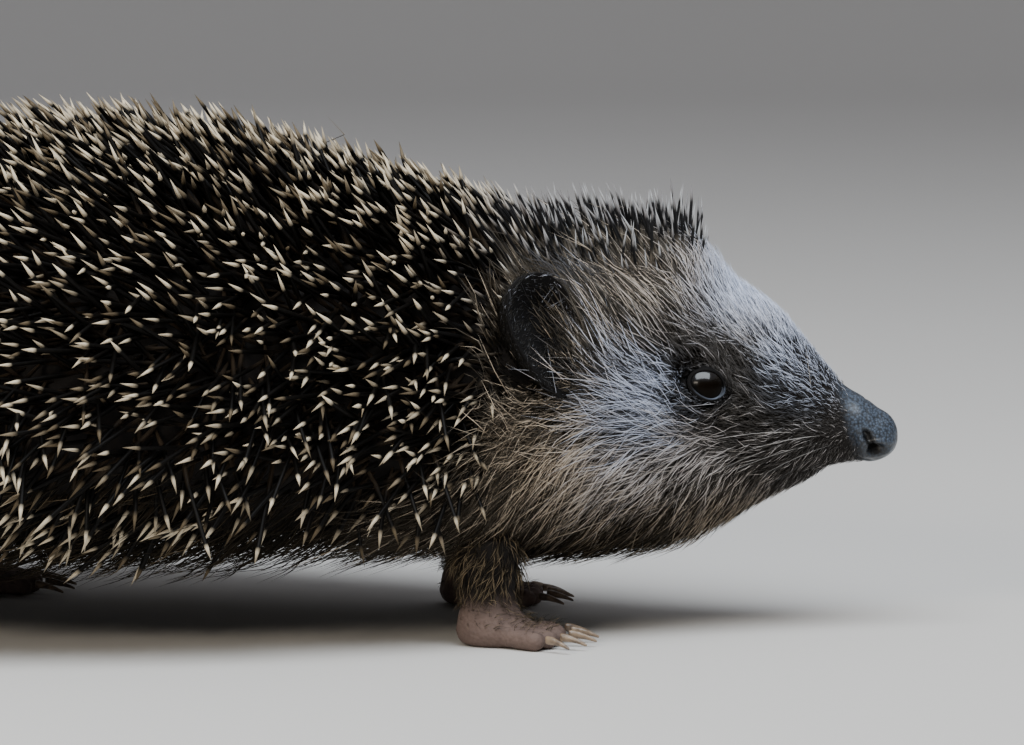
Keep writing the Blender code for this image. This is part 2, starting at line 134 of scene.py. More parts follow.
class HEDGEHOG_PG_colours(bpy.types.PropertyGroup):
    """Colours of the coat, the skin and the stage."""

    quill_shaft: colour("Quill shaft", "The dark middle of a quill", (0.003, 0.0024, 0.0019))
    quill_root: colour("Quill root", "The paler foot of a quill", (0.05, 0.036, 0.024))
    quill_tip: colour("Quill tip", "The cream point of a quill", (0.68, 0.58, 0.42))
    quill_dull_tip: colour("Dull quill tip", "The point of the dullest quills", (0.1, 0.075, 0.045))
    crown_shaft: colour("Crown shaft", "The dark middle of an upright quill", (0.013, 0.013, 0.014))
    crown_tip: colour("Crown tip", "The point of an upright quill on the head", (0.36, 0.36, 0.36))
    crown_dull_tip: colour("Dull crown tip", "The point of the dullest upright quills", (0.16, 0.15, 0.15))
    crown_root: colour("Crown root", "The pale foot of an upright quill", (0.28, 0.24, 0.19))
    whisker: colour("Whisker", "The palest whiskers", (0.4, 0.38, 0.36))
    hair_root: colour("Hair root", "The foot of a hair, and the whole of a dark one", (0.01, 0.008, 0.005))
    warm_tip: colour("Warm hair tip", "The pale point of a hair on the cheeks and ruff", (0.68, 0.56, 0.42))
    # Its blue is partly a painted tint of the sky's light on the upper face.
    sky_tinted_cool_tip: colour("Cool hair tip", "The pale point of a hair on the forehead", (0.7, 0.76, 0.92))
    # Its dark brown is partly the throat and belly's own fur, partly painted shade under the body.
    low_tip_and_shade: colour("Low hair tip", "The point of a hair on the throat and belly", (0.19, 0.135, 0.07))
    # Near-black: partly the skin's own dark colour, partly painted shade deep in the coat.
    skin: colour("Skin", "The skin under the coat", (0.012, 0.01, 0.009))
    bare_skin: colour("Bare skin", "The thin-haired skin of the feet", (0.17, 0.12, 0.1))
    bare_skin_dark: colour("Dark bare skin", "The darker blotches of the feet", (0.1, 0.07, 0.06))
    nose: colour("Nose", "The bare, moist nose, between its pebbles", (0.018, 0.022, 0.029))
    # The pebbles' pale bluish tops are a painted sheen of the sky on the wet nose.
    nose_pebble_sheen: colour("Nose pebble", "The tops of the nose's fine pebbles", (0.062, 0.084, 0.12))
    # The same dark is also painted as shade in the nostrils and on the lower part of the nose.
    lid: colour("Lid", "The bare lids and the skin round them", (0.006, 0.0055, 0.0055))
    # The rim is moist; its pale bluish colour is a painted reflection of the sky.
    lid_rim_reflection: colour("Lid rim", "The moist rim of the lower lid", (0.17, 0.2, 0.26))
    eye: colour("Eye", "The eyeball", (0.001, 0.001, 0.001))
    iris: colour("Iris", "The faint brown of the iris", (0.003, 0.0018, 0.0008))
    claw: colour("Claw", "The horn of the claws", (0.24, 0.17, 0.11))
    claw_streak: colour("Claw streak", "The dark streaks of the claws", (0.1, 0.07, 0.05))
    floor: colour("Floor", "The floor of the stage", (0.62, 0.6, 0.57))


class HEDGEHOG_PG_stage(bpy.types.PropertyGroup):
    """The camera and the lights."""

    lens: number("Lens", "The lens's focal length in millimetres", 180.0)
    distance: size("Distance", "From the camera to the middle of the view", 800 * MM)
    aim_x: size("Aim forward", "How far ahead of the animal's middle the camera aims", 44.7 * MM)
    aim_height: size("Aim height", "How high above the floor the camera aims", 39.5 * MM)
    azimuth: angle("Azimuth", "How far the camera stands towards the animal's front", 3.5)
    elevation: angle("Elevation", "How far the camera looks down", 5.0)
    sky: number("Sky", "Strength of the light from all round", 0.4)
    sky_tint: colour("Sky tint", "Colour of the light from all round", (0.9, 0.92, 1.0))
    top: number("Top light", "Power of the large cool light above, in watts", 24.0)
    top_tint: colour("Top tint", "Colour of the light above", (0.88, 0.94, 1.0))
    key: number("Key light", "Power of the small warm light at the side, in watts", 6.0)
    key_tint: colour("Key tint", "Colour of the light at the side", (1.0, 0.9, 0.76))


def sizes():
    """The sizes, as the user has set them."""
    return bpy.context.scene.hedgehog_sizes


def colours():
    """The colours, as the user has set them."""
    return bpy.context.scene.hedgehog_colours


# ------------------------------------------------------------------ numbers


def unit(vectors):
    """Vectors of length one, in the same directions."""
    return vectors / np.maximum(np.linalg.norm(vectors, axis=-1, keepdims=True), 1e-12)


def ease(low, high, value):
    """0 on low's side, 1 on high's side, and smooth between them."""
    share = np.clip((value - low) / (high - low), 0.0, 1.0)
    return share * share * (3.0 - 2.0 * share)


def blend(first, second, share):
    """The first where share is 0 and the second where it is 1."""
    return first + (second - first) * share


def rows(vectors):
    """A column, so that one number scales each vector."""
    return vectors[..., None]


def side_view(points):
    """How far back each point lies from the nose and how high, in millimetres."""
    return (NOSE_X - points[..., 0]) / MM, points[..., 2] / MM


def level(place, table):
    """The value at a place, on straight lines between the places and values of a table."""
    return np.interp(place, *zip(*table))


def blob(back, height, middle, reach, tilt=0.0, soft=0.35):
    """1 inside an oval drawn on the side of the animal and 0 outside it, in millimetres.

    tilt is how far the oval's rear end is raised, in degrees.
    """
    turn = math.radians(tilt)
    along = (back - middle[0]) * math.cos(turn) + (height - middle[1]) * math.sin(turn)
    across = (height - middle[1]) * math.cos(turn) - (back - middle[0]) * math.sin(turn)
    return 1.0 - ease(1.0 - soft, 1.0 + soft, np.hypot(along / reach[0], across / reach[1]))


def nostril_ways(back, height):
    """How far behind and above the middle of a nostril each point lies, with the nostril's own slant."""
    run = back - 3.4
    return run, height - 28.1 + run * 0.12


def either(*masks):
    """1 where any of the masks is 1."""
    outside = 1.0
    for mask in masks:
        outside = outside * (1.0 - mask)
    return 1.0 - outside


def markings(points):
    """The markings that skin and coat share, each from 0 to 1.

    pale is how many of the hairs have a pale point, cool is how blue that point is, partly a painted tint
    of the sky's light on the upper face, and low is how much it takes the darker colour of the throat and
    belly, partly painted shade under the body.
    """
    back, height = side_view(points)
    oval = partial(blob, back, height)
    # The dark mask: through the eye, over the muzzle's side, behind the eye and below it.
    streak = oval((25.0, 40.3), (8.4, 3.6), 30)
    mask = either(
        streak,
        oval((14.5, 30.5), (10.5, 7.2), 22),
        oval((29.4, 37.6), (5.0, 4.5)),
        oval((21.5, 34.2), (7.5, 5.4), 12),
    )
    muzzle = oval((18, 22), (9, 6))
    forehead = ease(38, 48, height - 0.1 * back) * ease(34.5, 23.5, back)
    brow = ease(42, 50, height) * ease(26, 38, back)
    throat = ease(31, 20, height) * ease(22, 36, back)
    cheek = either(oval((35.5, 35.5), (5, 5)), oval((41, 30), (11, 6.5)))
    # Fewer pale hairs on the throat: partly its own darker fur, partly painted shade under the head.
    pale = 0.48 + 0.48 * forehead + 0.22 * cheek - 0.19 * brow - 0.38 * throat - 0.22 * ease(44, 55, back)
    # Darker under the crown and before the ear, and paler behind the mask and under the eye.
    pale = pale - 0.28 * oval((46, 53), (9, 5)) - 0.34 * oval((47.5, 44), (5, 9))
    pale = pale - 0.14 * oval((37, 43), (6, 4), 20)
    pale = pale + 0.3 * either(oval((33.5, 38.5), (4, 4)), oval((27.5, 31), (5, 2.8)))
    pale = blend(pale, 0.36, muzzle)
    pale = blend(pale, 0.14, mask) * (1.0 - 0.7 * streak)
    # Paler along the muzzle's bridge: partly pale hair, partly a painted sheen of the sky on its upward
    # face.
    pale = pale + 0.16 * oval((15.5, 38.5), (7.0, 3.2), 33)
    off_nose = either(ease(6.5, 11.0, back), ease(31, 35, height))
    pale = np.clip(pale * blend(0.45, 1.0, off_nose), 0.03, 1.0)
    warm = either(ease(29, 21, height) * ease(14, 24, back), ease(36, 50, back), brow * 0.8)
    # Bluer points on the forehead, behind the eye and on the bridge: partly a painted tint of the sky's
    # light.
    bluish = either(forehead, oval((36, 37), (8, 6)), oval((14, 40), (7, 7)))
    cool = either(blend(0.4, 1.0, bluish) * (1.0 - warm), 0.8 * oval((46, 51.5), (5, 2.5), 25))
    # Darker, browner points low on the throat and belly: partly their own fur, partly painted shade under
    # the body.
    low = either(ease(28, 19, height) * ease(28, 40, back) * ease(60, 50, back), ease(70, 84, back)) * 0.9
    return {"pale": pale, "cool": cool, "low": low}


# ------------------------------------------------------------------ meshes


def add_object(name, mesh):
    """A new object in the scene."""
    made = bpy.data.objects.new(name, mesh)
    bpy.context.scene.collection.objects.link(made)
    return made


def evaluated_mesh(thing):
    """The thing's mesh with its modifiers applied. The thing itself is removed."""
    bpy.context.view_layer.update()
    graph = bpy.context.evaluated_depsgraph_get()
    mesh = bpy.data.meshes.new_from_object(thing.evaluated_get(graph))
    bpy.data.objects.remove(thing)
    return mesh


@contextmanager
def opened(mesh):
    """A mesh laid open for bmesh to work on, and written back afterwards."""
    shape = bmesh.new()
    shape.from_mesh(mesh)
    yield shape
    shape.to_mesh(mesh)
    shape.free()


def listed(things, name, width=3):
    """One measure of each of a mesh's points or faces, as rows of numbers."""
    flat = np.empty(len(things) * width, np.float32)
    things.foreach_get(name, flat)
    return flat.reshape(-1, width).astype(float)


def points_of(mesh):
    """Where a mesh's points lie."""
    return listed(mesh.vertices, "co")


def set_points(mesh, points):
    """Moves a mesh's points to new places."""
    mesh.vertices.foreach_set("co", np.ascontiguousarray(points, np.float32).ravel())
    mesh.update()


def normals_of(mesh):
    """Which way a mesh faces at each of its points."""
    return listed(mesh.vertex_normals, "vector")


def closed_mesh(name, rings):
    """A closed skin over rings of points, with a point in the middle of each open end."""
    count, around = rings.shape[:2]
    ends = [rings[0].mean(0), rings[-1].mean(0)]
    corners = [tuple(p) for p in rings.reshape(-1, 3)] + [tuple(end) for end in ends]
    faces = []
    for i in range(count - 1):
        for j in range(around):
            k = (j + 1) % around
            faces.append((i * around + j, (i + 1) * around + j, (i + 1) * around + k, i * around + k))
    last = (count - 1) * around
    for j in range(around):
        k = (j + 1) % around
        faces.append((count * around, j, k))
        faces.append((count * around + 1, last + k, last + j))
    mesh = bpy.data.meshes.new(name)
    mesh.from_pydata(corners, [], faces)
    with opened(mesh) as shape:
        bmesh.ops.recalc_face_normals(shape, faces=shape.faces)
    mesh.shade_smooth()
    return mesh


def set_values(mesh, values):
    """Named numbers on the mesh's points, for its material to read."""
    for name, numbers in values.items():
        layer = mesh.attributes.new(name, "FLOAT", "POINT")
        layer.data.foreach_set("value", np.ascontiguousarray(numbers, np.float32))


def finish_piece(piece, slot, *nodes):
    """Hands a piece over: it rides the body and stands for the nodes it covers. Its slot is not used."""
    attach(piece, "root")
    if nodes:
        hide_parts(*nodes)


# ------------------------------------------------------------------ materials


class Wire:
    """A socket of a material that can be used in ordinary arithmetic."""

    def __init__(self, finish, socket):
        self.finish = finish
        self.socket = socket

    def maths(self, operation, first, second):
        return self.finish.node("ShaderNodeMath", {"operation": operation}, {0: first, 1: second})

    def __add__(self, other):
        return self.maths("ADD", self, other)

    def __sub__(self, other):
        return self.maths("SUBTRACT", self, other)

    def __rsub__(self, other):
        return self.maths("SUBTRACT", other, self)

    def __mul__(self, other):
        return self.maths("MULTIPLY", self, other)

    __radd__ = __add__
    __rmul__ = __mul__

    def eased(self, low, high):
        """0 below low, 1 above high and smooth between, where low is less than high."""
        values = {"Value": self, "From Min": low, "From Max": high}
        return self.finish.node("ShaderNodeMapRange", {"interpolation_type": "SMOOTHSTEP"}, values)


class Finish:
    """A Principled material while it is being made."""

    def __init__(self, name, **constants):
        self.material = bpy.data.materials.new(name)
        self.material.use_nodes = True
        self.tree = self.material.node_tree
        self.shader = self.tree.nodes["Principled BSDF"]
        self.set(**constants)

    def node(self, kind, settings=None, values=None, out=0):
        """A node with its settings and the values or links of its sockets, as the Wire of one output."""
        made = self.tree.nodes.new(kind)
        for name, value in (settings or {}).items():
            setattr(made, name, value)
        for name, value in (values or {}).items():
            self.join(made.inputs[name], value)
        return Wire(self, made.outputs[out])

    def join(self, socket, value):
        """Links a Wire to a socket, or sets the socket to a number or colour."""
        if isinstance(value, Wire):
            self.tree.links.new(value.socket, socket)
        elif socket.type == "RGBA":
            socket.default_value = (*value, 1.0)
        else:
            socket.default_value = value

    def set(self, **values):
        """Sets or links the shader's own sockets, named with _ for a space."""
        for name, value in values.items():
            self.join(self.shader.inputs[name.replace("_", " ")], value)

    def value(self, name):
        """One of the numbers that the mesh carries."""
        return self.node("ShaderNodeAttribute", {"attribute_name": name}, out="Fac")

    def place(self):
        """Where each point lies on the object."""
        return self.node("ShaderNodeTexCoord", out="Object")

    def noise(self, scale, detail=3.0):
        """A cloudy unevenness from 0 to 1, with so many features to the metre."""
        values = {"Vector": self.place(), "Scale": scale, "Detail": detail}
        return self.node("ShaderNodeTexNoise", {}, values)

    def cells(self, scale):
        """How far each place is from the middle of its own grain, with so many grains to the metre."""
        return self.node("ShaderNodeTexVoronoi", {}, {"Vector": self.place(), "Scale": scale})

    def mix(self, share, first, second):
        """The first colour where share is 0 and the second where it is 1."""
        settings = {"data_type": "RGBA", "clamp_factor": True}
        return self.node("ShaderNodeMix", settings, {0: share, 6: first, 7: second}, out=2)

    def bump(self, height, depth, strength=1.0):
        """Raises the surface by a height from 0 to 1, times a depth in metres."""
        values = {"Height": height, "Distance": depth, "Strength": strength}
        self.set(Normal=self.node("ShaderNodeBump", {}, values))


def skin_finish():
    """Dark skin under the coat, near-black partly as painted shade deep in the coat, pebbled and moist on
    the nose with a painted sheen on the pebbles' tops, with painted shade in the nostrils and under the
    nose and a painted reflection on each lower lid's rim, and paler and granular on the feet.
    """
    tone = colours()
    made = Finish("hedgehog_skin", Specular_IOR_Level=0.12, Coat_Roughness=0.36)
    names = ("nose", "foot", "pale", "cool", "low", "lid", "rim")
    nose, foot, pale, cool, low, lid, rim = [made.value(name) for name in names]
    patches = made.noise(260.0, 4.0)
    coat = made.mix(low, made.mix(cool, tone.warm_tip, tone.sky_tinted_cool_tip), tone.low_tip_and_shade)
    # Near-black skin, partly its own dark colour and partly painted shade deep in the coat, which takes the
    # coat's colour under the palest hair.
    shade = made.mix(pale.eased(0.7, 0.94) * 0.55, tone.skin, coat)
    foot_tone = made.mix(made.noise(700.0, 5.0), tone.bare_skin, tone.bare_skin_dark)
    shade = made.mix(foot, shade, foot_tone)
    # The nose: black between its pebbles and pale bluish on their tops, a painted sheen of the sky.
    pebbles = made.cells(2300.0)
    nose_and_pebble_sheen = made.mix(pebbles.eased(0.2, 0.8), tone.nose_pebble_sheen, tone.nose)
    shade = made.mix(nose, shade, nose_and_pebble_sheen)
    # The lids' dark, which also paints shade in the nostrils and on the lower part of the nose.
    shade = made.mix(lid, shade, tone.lid)
    # The moist rim of the lower lid, whose pale bluish colour is a painted reflection of the sky.
    made.set(Base_Color=made.mix(rim, shade, tone.lid_rim_reflection))
    made.set(Roughness=0.62 - nose * 0.2 - rim * 0.3 + patches * 0.1 + lid * 0.2)
    made.set(Coat_Weight=nose * 0.85 + rim * 0.8)
    grain = made.noise(2200.0, 4.0) * 0.5 + (1.0 - made.cells(1500.0)) * foot
    made.bump(grain * (1.0 - nose) + (1.0 - pebbles) * nose * 2.0, 0.14 * MM, 0.8)
    return made.material


def hair_finish():
    """Hair that is dark at its root and, where it is a pale one, pale at its point."""
    tone = colours()
    made = Finish("hedgehog_hair", Roughness=0.5, Specular_IOR_Level=0.18)
    along, shade, cool, low = [made.value(name) for name in ("along", "shade", "cool", "low")]
    # The pale point's blue is partly a painted tint of the sky's light, and its low brown partly painted
    # shade under the body.
    tip = made.mix(cool, tone.warm_tip, tone.sky_tinted_cool_tip)
    tip = made.mix(low, tip, tone.low_tip_and_shade)
    tip = made.mix(shade, tone.hair_root, tip)
    made.set(Base_Color=made.mix(along.eased(0.05, 0.42), tone.hair_root, tip))
    return made.material


def quill_finish():
    """Dark quills with a cream point. Those of the crown also have a pale foot."""
    tone = colours()
    made = Finish("hedgehog_quill", Roughness=0.5, Specular_IOR_Level=0.12)
    along, shade, crown, point = [made.value(name) for name in ("along", "shade", "crown", "point")]
    warm = made.mix(shade.eased(0.1, 0.9), tone.quill_dull_tip, tone.quill_tip)
    cool = made.mix(shade, tone.crown_dull_tip, tone.crown_tip)
    cream = made.mix(crown, warm, cool)
    foot = made.mix(crown, tone.quill_root, tone.crown_root)
    shaft = made.mix(crown, tone.quill_shaft, tone.crown_shaft)
    lower = made.mix(along.eased(0.22, 0.46), foot, shaft)
    made.set(Base_Color=made.mix(point, lower, cream))
    return made.material


def whisker_finish():
    """Stiff whiskers, from black to pale."""
    tone = colours()
    made = Finish("hedgehog_whisker", Roughness=0.4)
    made.set(Base_Color=made.mix(made.value("shade"), tone.hair_root, tone.whisker))
    return made.material


def eye_finish():
    """A black eyeball, faintly brown in its middle, with a wet film on its upper half."""
    tone = colours()
    made = Finish("hedgehog_eye", Roughness=0.3, Specular_IOR_Level=0.05, Coat_Roughness=0.12)
    made.set(Coat_Weight=made.value("film"))
    made.set(Base_Color=made.mix(made.value("iris"), tone.eye, tone.iris))
    return made.material


def claw_finish():
    """Horn with fine streaks along it."""
    tone = colours()
    made = Finish("hedgehog_claw", Roughness=0.38, Coat_Weight=0.2)
    streaks = made.noise(900.0, 4.0)
    made.set(Base_Color=made.mix(streaks.eased(0.35, 0.7), tone.claw, tone.claw_streak))
    made.bump(streaks, 0.05 * MM)
    return made.material


def floor_finish():
    """A plain matt floor, very faintly uneven in tone."""
    pale = colours().floor
    made = Finish("stage_floor", Roughness=0.85)
    made.set(Base_Color=made.mix(made.noise(2.0), pale, [0.97 * part for part in pale]))
    return made.material


# ------------------------------------------------------------------ forms that the coat grows on


class Form:
    """A surface held as rings of points, with the depth and the lay of the coat that grows on it.

    A place on it is a pair of numbers: which ring, and how far round the ring. Both may lie between
    points. The rings are closed, and each is listed so that the surface faces out.
    """

    def __init__(self, points):
        self.points = points
        self.along = np.gradient(points, axis=0)
        self.around = (np.roll(points, -1, axis=1) - np.roll(points, 1, axis=1)) / 2
        self.normals = unit(np.cross(self.around, self.along))
        self.areas = np.linalg.norm(np.cross(self.around, self.along), axis=-1)
        self.depth = np.zeros(points.shape[:2])  # how deep the quills stand
        self.pile = self.depth  # how deep the hair lies
        self.ahead = self.steps = None

    def lay_down(self, wanted):
        """Sets the lay from wanted directions in space.

        It also works out how many rings and points a metre crosses along the lay, and across it.
        """
        flat = wanted - self.normals * rows((wanted * self.normals).sum(-1))
        self.ahead = unit(flat)
        aside = np.cross(self.normals, self.ahead)
        lengths = (self.along**2).sum(-1), (self.around**2).sum(-1), (self.along * self.around).sum(-1)
        spread = np.maximum(lengths[0] * lengths[1] - lengths[2] ** 2, 1e-18)
        crossed = []
        for heading in (self.ahead, aside):
            rise, turn = (heading * self.along).sum(-1), (heading * self.around).sum(-1)
            crossed.append((rise * lengths[1] - turn * lengths[2]) / spread)
            crossed.append((turn * lengths[0] - rise * lengths[2]) / spread)
        self.steps = np.stack(crossed, axis=-1)

    def read(self, field, ring, turn):
        """The value of a field between its points."""
        rings, turns = self.points.shape[:2]
        ring = np.clip(ring, 0.0, rings - 1.001)
        low, start = np.floor(ring).astype(int), np.floor(turn).astype(int)
        up, over = ring - low, turn - start
        if field.ndim > 2:
            up, over = rows(up), rows(over)
        start, after = start % turns, (start + 1) % turns
        near = blend(field[low, start], field[low, after], over)
        far = blend(field[low + 1, start], field[low + 1, after], over)
        return blend(near, far, up)

    def turn_on_map(self, ring, turn):
        """How far round the form each place lies, which is one of the two measures of its map."""
        return turn % self.points.shape[1]

    def scatter(self, weight, count, chance):
        """Places spread over the surface, closer together where the weight is greater."""
        share = (self.areas * weight)[:-1].ravel()
        total = np.cumsum(share)
        spots = (np.arange(count) + chance.random(count)) / count * total[-1]
        cell = np.minimum(np.searchsorted(total, spots), len(total) - 1)
        ring, turn = np.divmod(cell, self.points.shape[1])
        return ring + chance.random(count), turn + chance.random(count)

    def follow(self, ring, turn, swerve, length, steps):
        """Paths from these places along the lay, turned aside by an angle.

        Gives the places along them, and the normal, the sideways direction and the depth of fur there.
        """
        spots = [(ring, turn)]
        for _ in range(steps):
            pace = self.read(self.steps, ring, turn) * rows(length / steps)
            ring = ring + np.cos(swerve) * pace[:, 0] + np.sin(swerve) * pace[:, 2]
            turn = turn + np.cos(swerve) * pace[:, 1] + np.sin(swerve) * pace[:, 3]
            spots.append((ring, turn))
        places = np.stack([self.read(self.points, *spot) for spot in spots], axis=1)
        normals = unit(np.stack([self.read(self.normals, *spot) for spot in spots], axis=1))
        depths = np.stack([self.read(self.pile, *spot) for spot in spots], axis=1)
        run = unit(np.gradient(places, axis=1))
        return places, normals, unit(np.cross(normals, run)), depths


class Limb:
    """The faces of a leg, foot or tail, for short hair that points down it and then along the foot.

    A place on it is the number of a face. It answers the same questions as a Form.
    """

    def __init__(self, mesh, depth, down, along):
        self.points = listed(mesh.polygons, "center")
        self.normals = listed(mesh.polygons, "normal")
        self.areas = listed(mesh.polygons, "area", 1)[:, 0]
        self.depth = depth
        ahead = blend(along, down, rows(ease(5.0, 10.0, self.points[:, 2] / MM)))
        self.ahead = unit(ahead - self.normals * rows((ahead * self.normals).sum(-1)))

    def read(self, field, face, turn):
        """The value of a field on these faces."""
        return field[face]

    def turn_on_map(self, face, turn):
        """How far round the limb each face lies, which is one of the two measures of its map."""
        away = self.points[face] - self.points.mean(0)
        return np.arctan2(away[:, 1], away[:, 0])

    def scatter(self, weight, count, chance):
        """Faces picked at random, more often where the weight is greater."""
        share = self.areas * weight
        face = chance.choice(len(share), count, p=share / share.sum())
        return face, np.zeros(count)

    def follow(self, face, turn, swerve, length, steps):
        """Straight paths from these faces along the lay, turned aside by an angle."""
        normals = np.repeat(self.normals[face][:, None], steps + 1, axis=1)
        aside = np.cross(self.normals, self.ahead)[face]
        heading = self.ahead[face] * rows(np.cos(swerve)) + aside * rows(np.sin(swerve))
        share = np.linspace(0.0, 1.0, steps + 1)
        places = self.points[face][:, None] + heading[:, None] * rows(rows(length) * share[None])
        sideways = np.repeat(np.cross(self.normals[face], heading)[:, None], steps + 1, axis=1)
        return places, normals, sideways, np.full(places.shape[:2], self.depth)


ROUND = 204  # points in each ring of the body
FAR = 0.2  # a distance that is outside the animal from anywhere in it

# At each height over the floor, how far behind the nose the quills begin, in millimetres.
QUILL_LINE = (
    (8, 76), (17, 69), (25, 60), (35, 55), (48, 56), (52, 55),
    (54.5, 50), (56.5, 41), (58.5, 34.5), (61, 30.5), (63.5, 29), (69, 28),
)
# How deep the coat of quills, and the fur, stands at each distance behind the nose, in millimetres.
QUILL_DEPTHS = ((24, 2.2), (27, 3.4), (29, 5.0), (31, 7.0), (33.5, 8.6), (37, 9.5), (50, 9.5), (85, 12.5))
FUR_DEPTHS = (
    (0, 0), (5, 0), (6.5, 0.4), (12, 0.8), (20, 1.4), (26, 2.0),
    (32, 2.8), (42, 4.2), (55, 6.0), (70, 7.5), (90, 6.5),
)
# How long the hair is at each distance behind the nose, in millimetres.
HAIR_LENGTHS = (
    (6, 0.7), (10, 1.5), (20, 4.0), (28, 7.0), (36, 10.0), (46, 11.0), (56, 10.0), (66, 12.0), (80, 13.0),
)


def search_tree(names):
    """A tree over the faces of these solids, which answers where a line meets them."""
    corners, faces = [], []
    for name in names:
        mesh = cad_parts[name].data
        start = len(corners)
        corners += [vert.co.copy() for vert in mesh.vertices]
        faces += [[start + i for i in face.vertices] for face in mesh.polygons]
    return BVHTree.FromPolygons(corners, faces)


def reach_from(tree, centre, heading):
    """How far out from a centre the solids reach in a direction, looking in from outside.

    0 means that nothing is met.
    """
    hit = tree.ray_cast(centre + heading * FAR, -heading, FAR * 2)
    return FAR - hit[3] if hit[0] is not None else 0.0


def softened(values, passes, round_too=True):
    """A grid of values with the facets of the solids smoothed away."""
    for _ in range(passes):
        padded = np.concatenate([values[:1], values, values[-1:]])
        values = (padded[:-2] + 2 * values + padded[2:]) / 4
        if round_too:
            values = (np.roll(values, 1, axis=1) + 2 * values + np.roll(values, -1, axis=1)) / 4
    return values


def stations():
    """How far back each ring of the body lies: closest on the face, and drawn together at both ends."""
    tip = 2.6 * (np.arange(0, 9) / 8) ** 2 + 0.02
    face = np.arange(2.98, 38.0, 0.36)
    head = np.arange(38.3, 66.0, 0.8)
    trunk = np.arange(66.6, 145.0, 1.6)
    length = (CAD_BOX[1].x - CAD_BOX[0].x) / MM
    rump = trunk[-1] + (length - 0.05 - trunk[-1]) * np.sin(np.linspace(0, math.pi / 2, 42)[1:])
    return np.concatenate([tip, face, head, trunk, rump]) * MM


class Eye:
    """Where an eyeball sits, and the flat axes across its opening: towards the nose, up and out."""

    def __init__(self, side):
        low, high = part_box("eye_" + side)
        self.centre = np.array((low + high) / 2)
        self.radius = (high.y - low.y) / 2
        self.out = unit(np.array([0.42, SIDES[side] * 0.88, 0.2]))
        forward = np.array([1.0, 0.0, -0.26])
        self.forward = unit(forward - self.out * forward.dot(self.out))
        self.up = np.cross(self.out, self.forward) * -SIDES[side]

    def spread(self, points):
        """Where each point lies: across the opening, up it, out from the eyeball's middle, and how many
        openings from the middle. 1 is on the rim, which is pointed towards the nose.
        """
        away = points - self.centre
        across, up, out = away @ self.forward, away @ self.up, away @ self.out
        half = sizes().eye_opening / 2
        height = half_opening(np.clip(across / half, 0.0, 1.4))
        times = np.sqrt((across / half) ** 2 + (up / np.maximum(height, 0.3 * half)) ** 2)
        return across, up, out, np.where(out > 0, times, 9.0)


def half_opening(ahead):
    """Half the height of an eye's opening, at shares of the way from its middle to its front corner."""
    return sizes().eye_opening / 2 * OPENING * (1.0 - CORNER * ahead**2)


def coat_outline():
    """Rings of points over the reach of the coat, from the nose to the rump.

    Each reach is the farthest of three, so that the thin cuts between the solids don't show.
    """
    tree = search_tree(BODY_NODES)
    backs = stations()
    turns = np.arange(ROUND) * 2 * math.pi / ROUND
    headings = np.stack([np.zeros(ROUND), np.sin(turns), np.cos(turns)], axis=1)
    slack, middle = 0.45 * MM, 30 * MM
    reach, centres = np.zeros((len(backs), ROUND)), np.zeros((len(backs), 3))
    for i, back in enumerate(backs):
        x = NOSE_X - back
        inside = Vector((x - math.copysign(slack, x), 0.0, middle))
        top = reach_from(tree, inside, Vector((0, 0, 1)))
        bottom = reach_from(tree, inside, Vector((0, 0, -1)))
        centre = Vector((x, 0.0, middle + blend(-bottom, top, 0.45)))
        centres[i] = centre
        starts = [centre + Vector((shift, 0, 0)) for shift in (-slack, 0.0, slack)]
        for j, heading in enumerate(headings):
            reach[i, j] = max(reach_from(tree, start, Vector(heading)) for start in starts)
    reach = filled_sockets(reach, centres, headings)
    reach = softened(softened(reach, 12), 26, False)
    centres[:, 2] = softened(centres[:, 2:], 26, False)[:, 0]
    rounded_nose(reach, centres, backs)
    return centres[:, None, :] + headings[None] * rows(reach)


def rounded_nose(reach, centres, backs):
    """Gives the nose a round front, from its thickest ring forward."""
    depth, thickest, tip_height, bluntness = 7.0 * MM, 5.0 * MM, 29.7 * MM, 2.2
    full = np.argmax(backs > thickest)
    for i in range(full):
        here, there = (
            (1.0 - (1.0 - back / depth) ** bluntness) ** (1 / bluntness) for back in (backs[i], backs[full])
        )
        reach[i] = reach[full] * here / there
        centres[i, 2] = blend(tip_height, centres[full, 2], (backs[i] / backs[full]) ** 0.8)


def filled_sockets(reach, centres, headings):
    """The reach of the coat with the eye sockets and nostrils bridged by what lies round them."""
    points = centres[:, None, :] + headings[None] * rows(reach)
    hollow = np.zeros(reach.shape, bool)
    for side, sign in SIDES.items():
        eye = Eye(side)
        hollow |= np.linalg.norm(points - eye.centre, axis=-1) < eye.radius + 2.2 * MM
        nostril = np.array([NOSE_X - 3.3 * MM, sign * 3.5 * MM, 28.6 * MM])
        hollow |= np.linalg.norm(points - nostril, axis=-1) < 2.1 * MM
    hollow |= reach <= 0.0
    for _ in range(700):
        around = (np.roll(reach, 1, axis=1) + np.roll(reach, -1, axis=1)) / 2
        along = (np.roll(reach, 1, axis=0) + np.roll(reach, -1, axis=0)) / 2
        reach = np.where(hollow, (around + along) / 2, reach)
    return reach


def quilled(points, normals):
    """1 where quills grow and 0 where fur does, for points on the outline of the coat."""
    back, height = side_view(points)
    return ease(-1.5, 1.5, back - level(height, QUILL_LINE)) * ease(-0.84, -0.6, normals[..., 2])


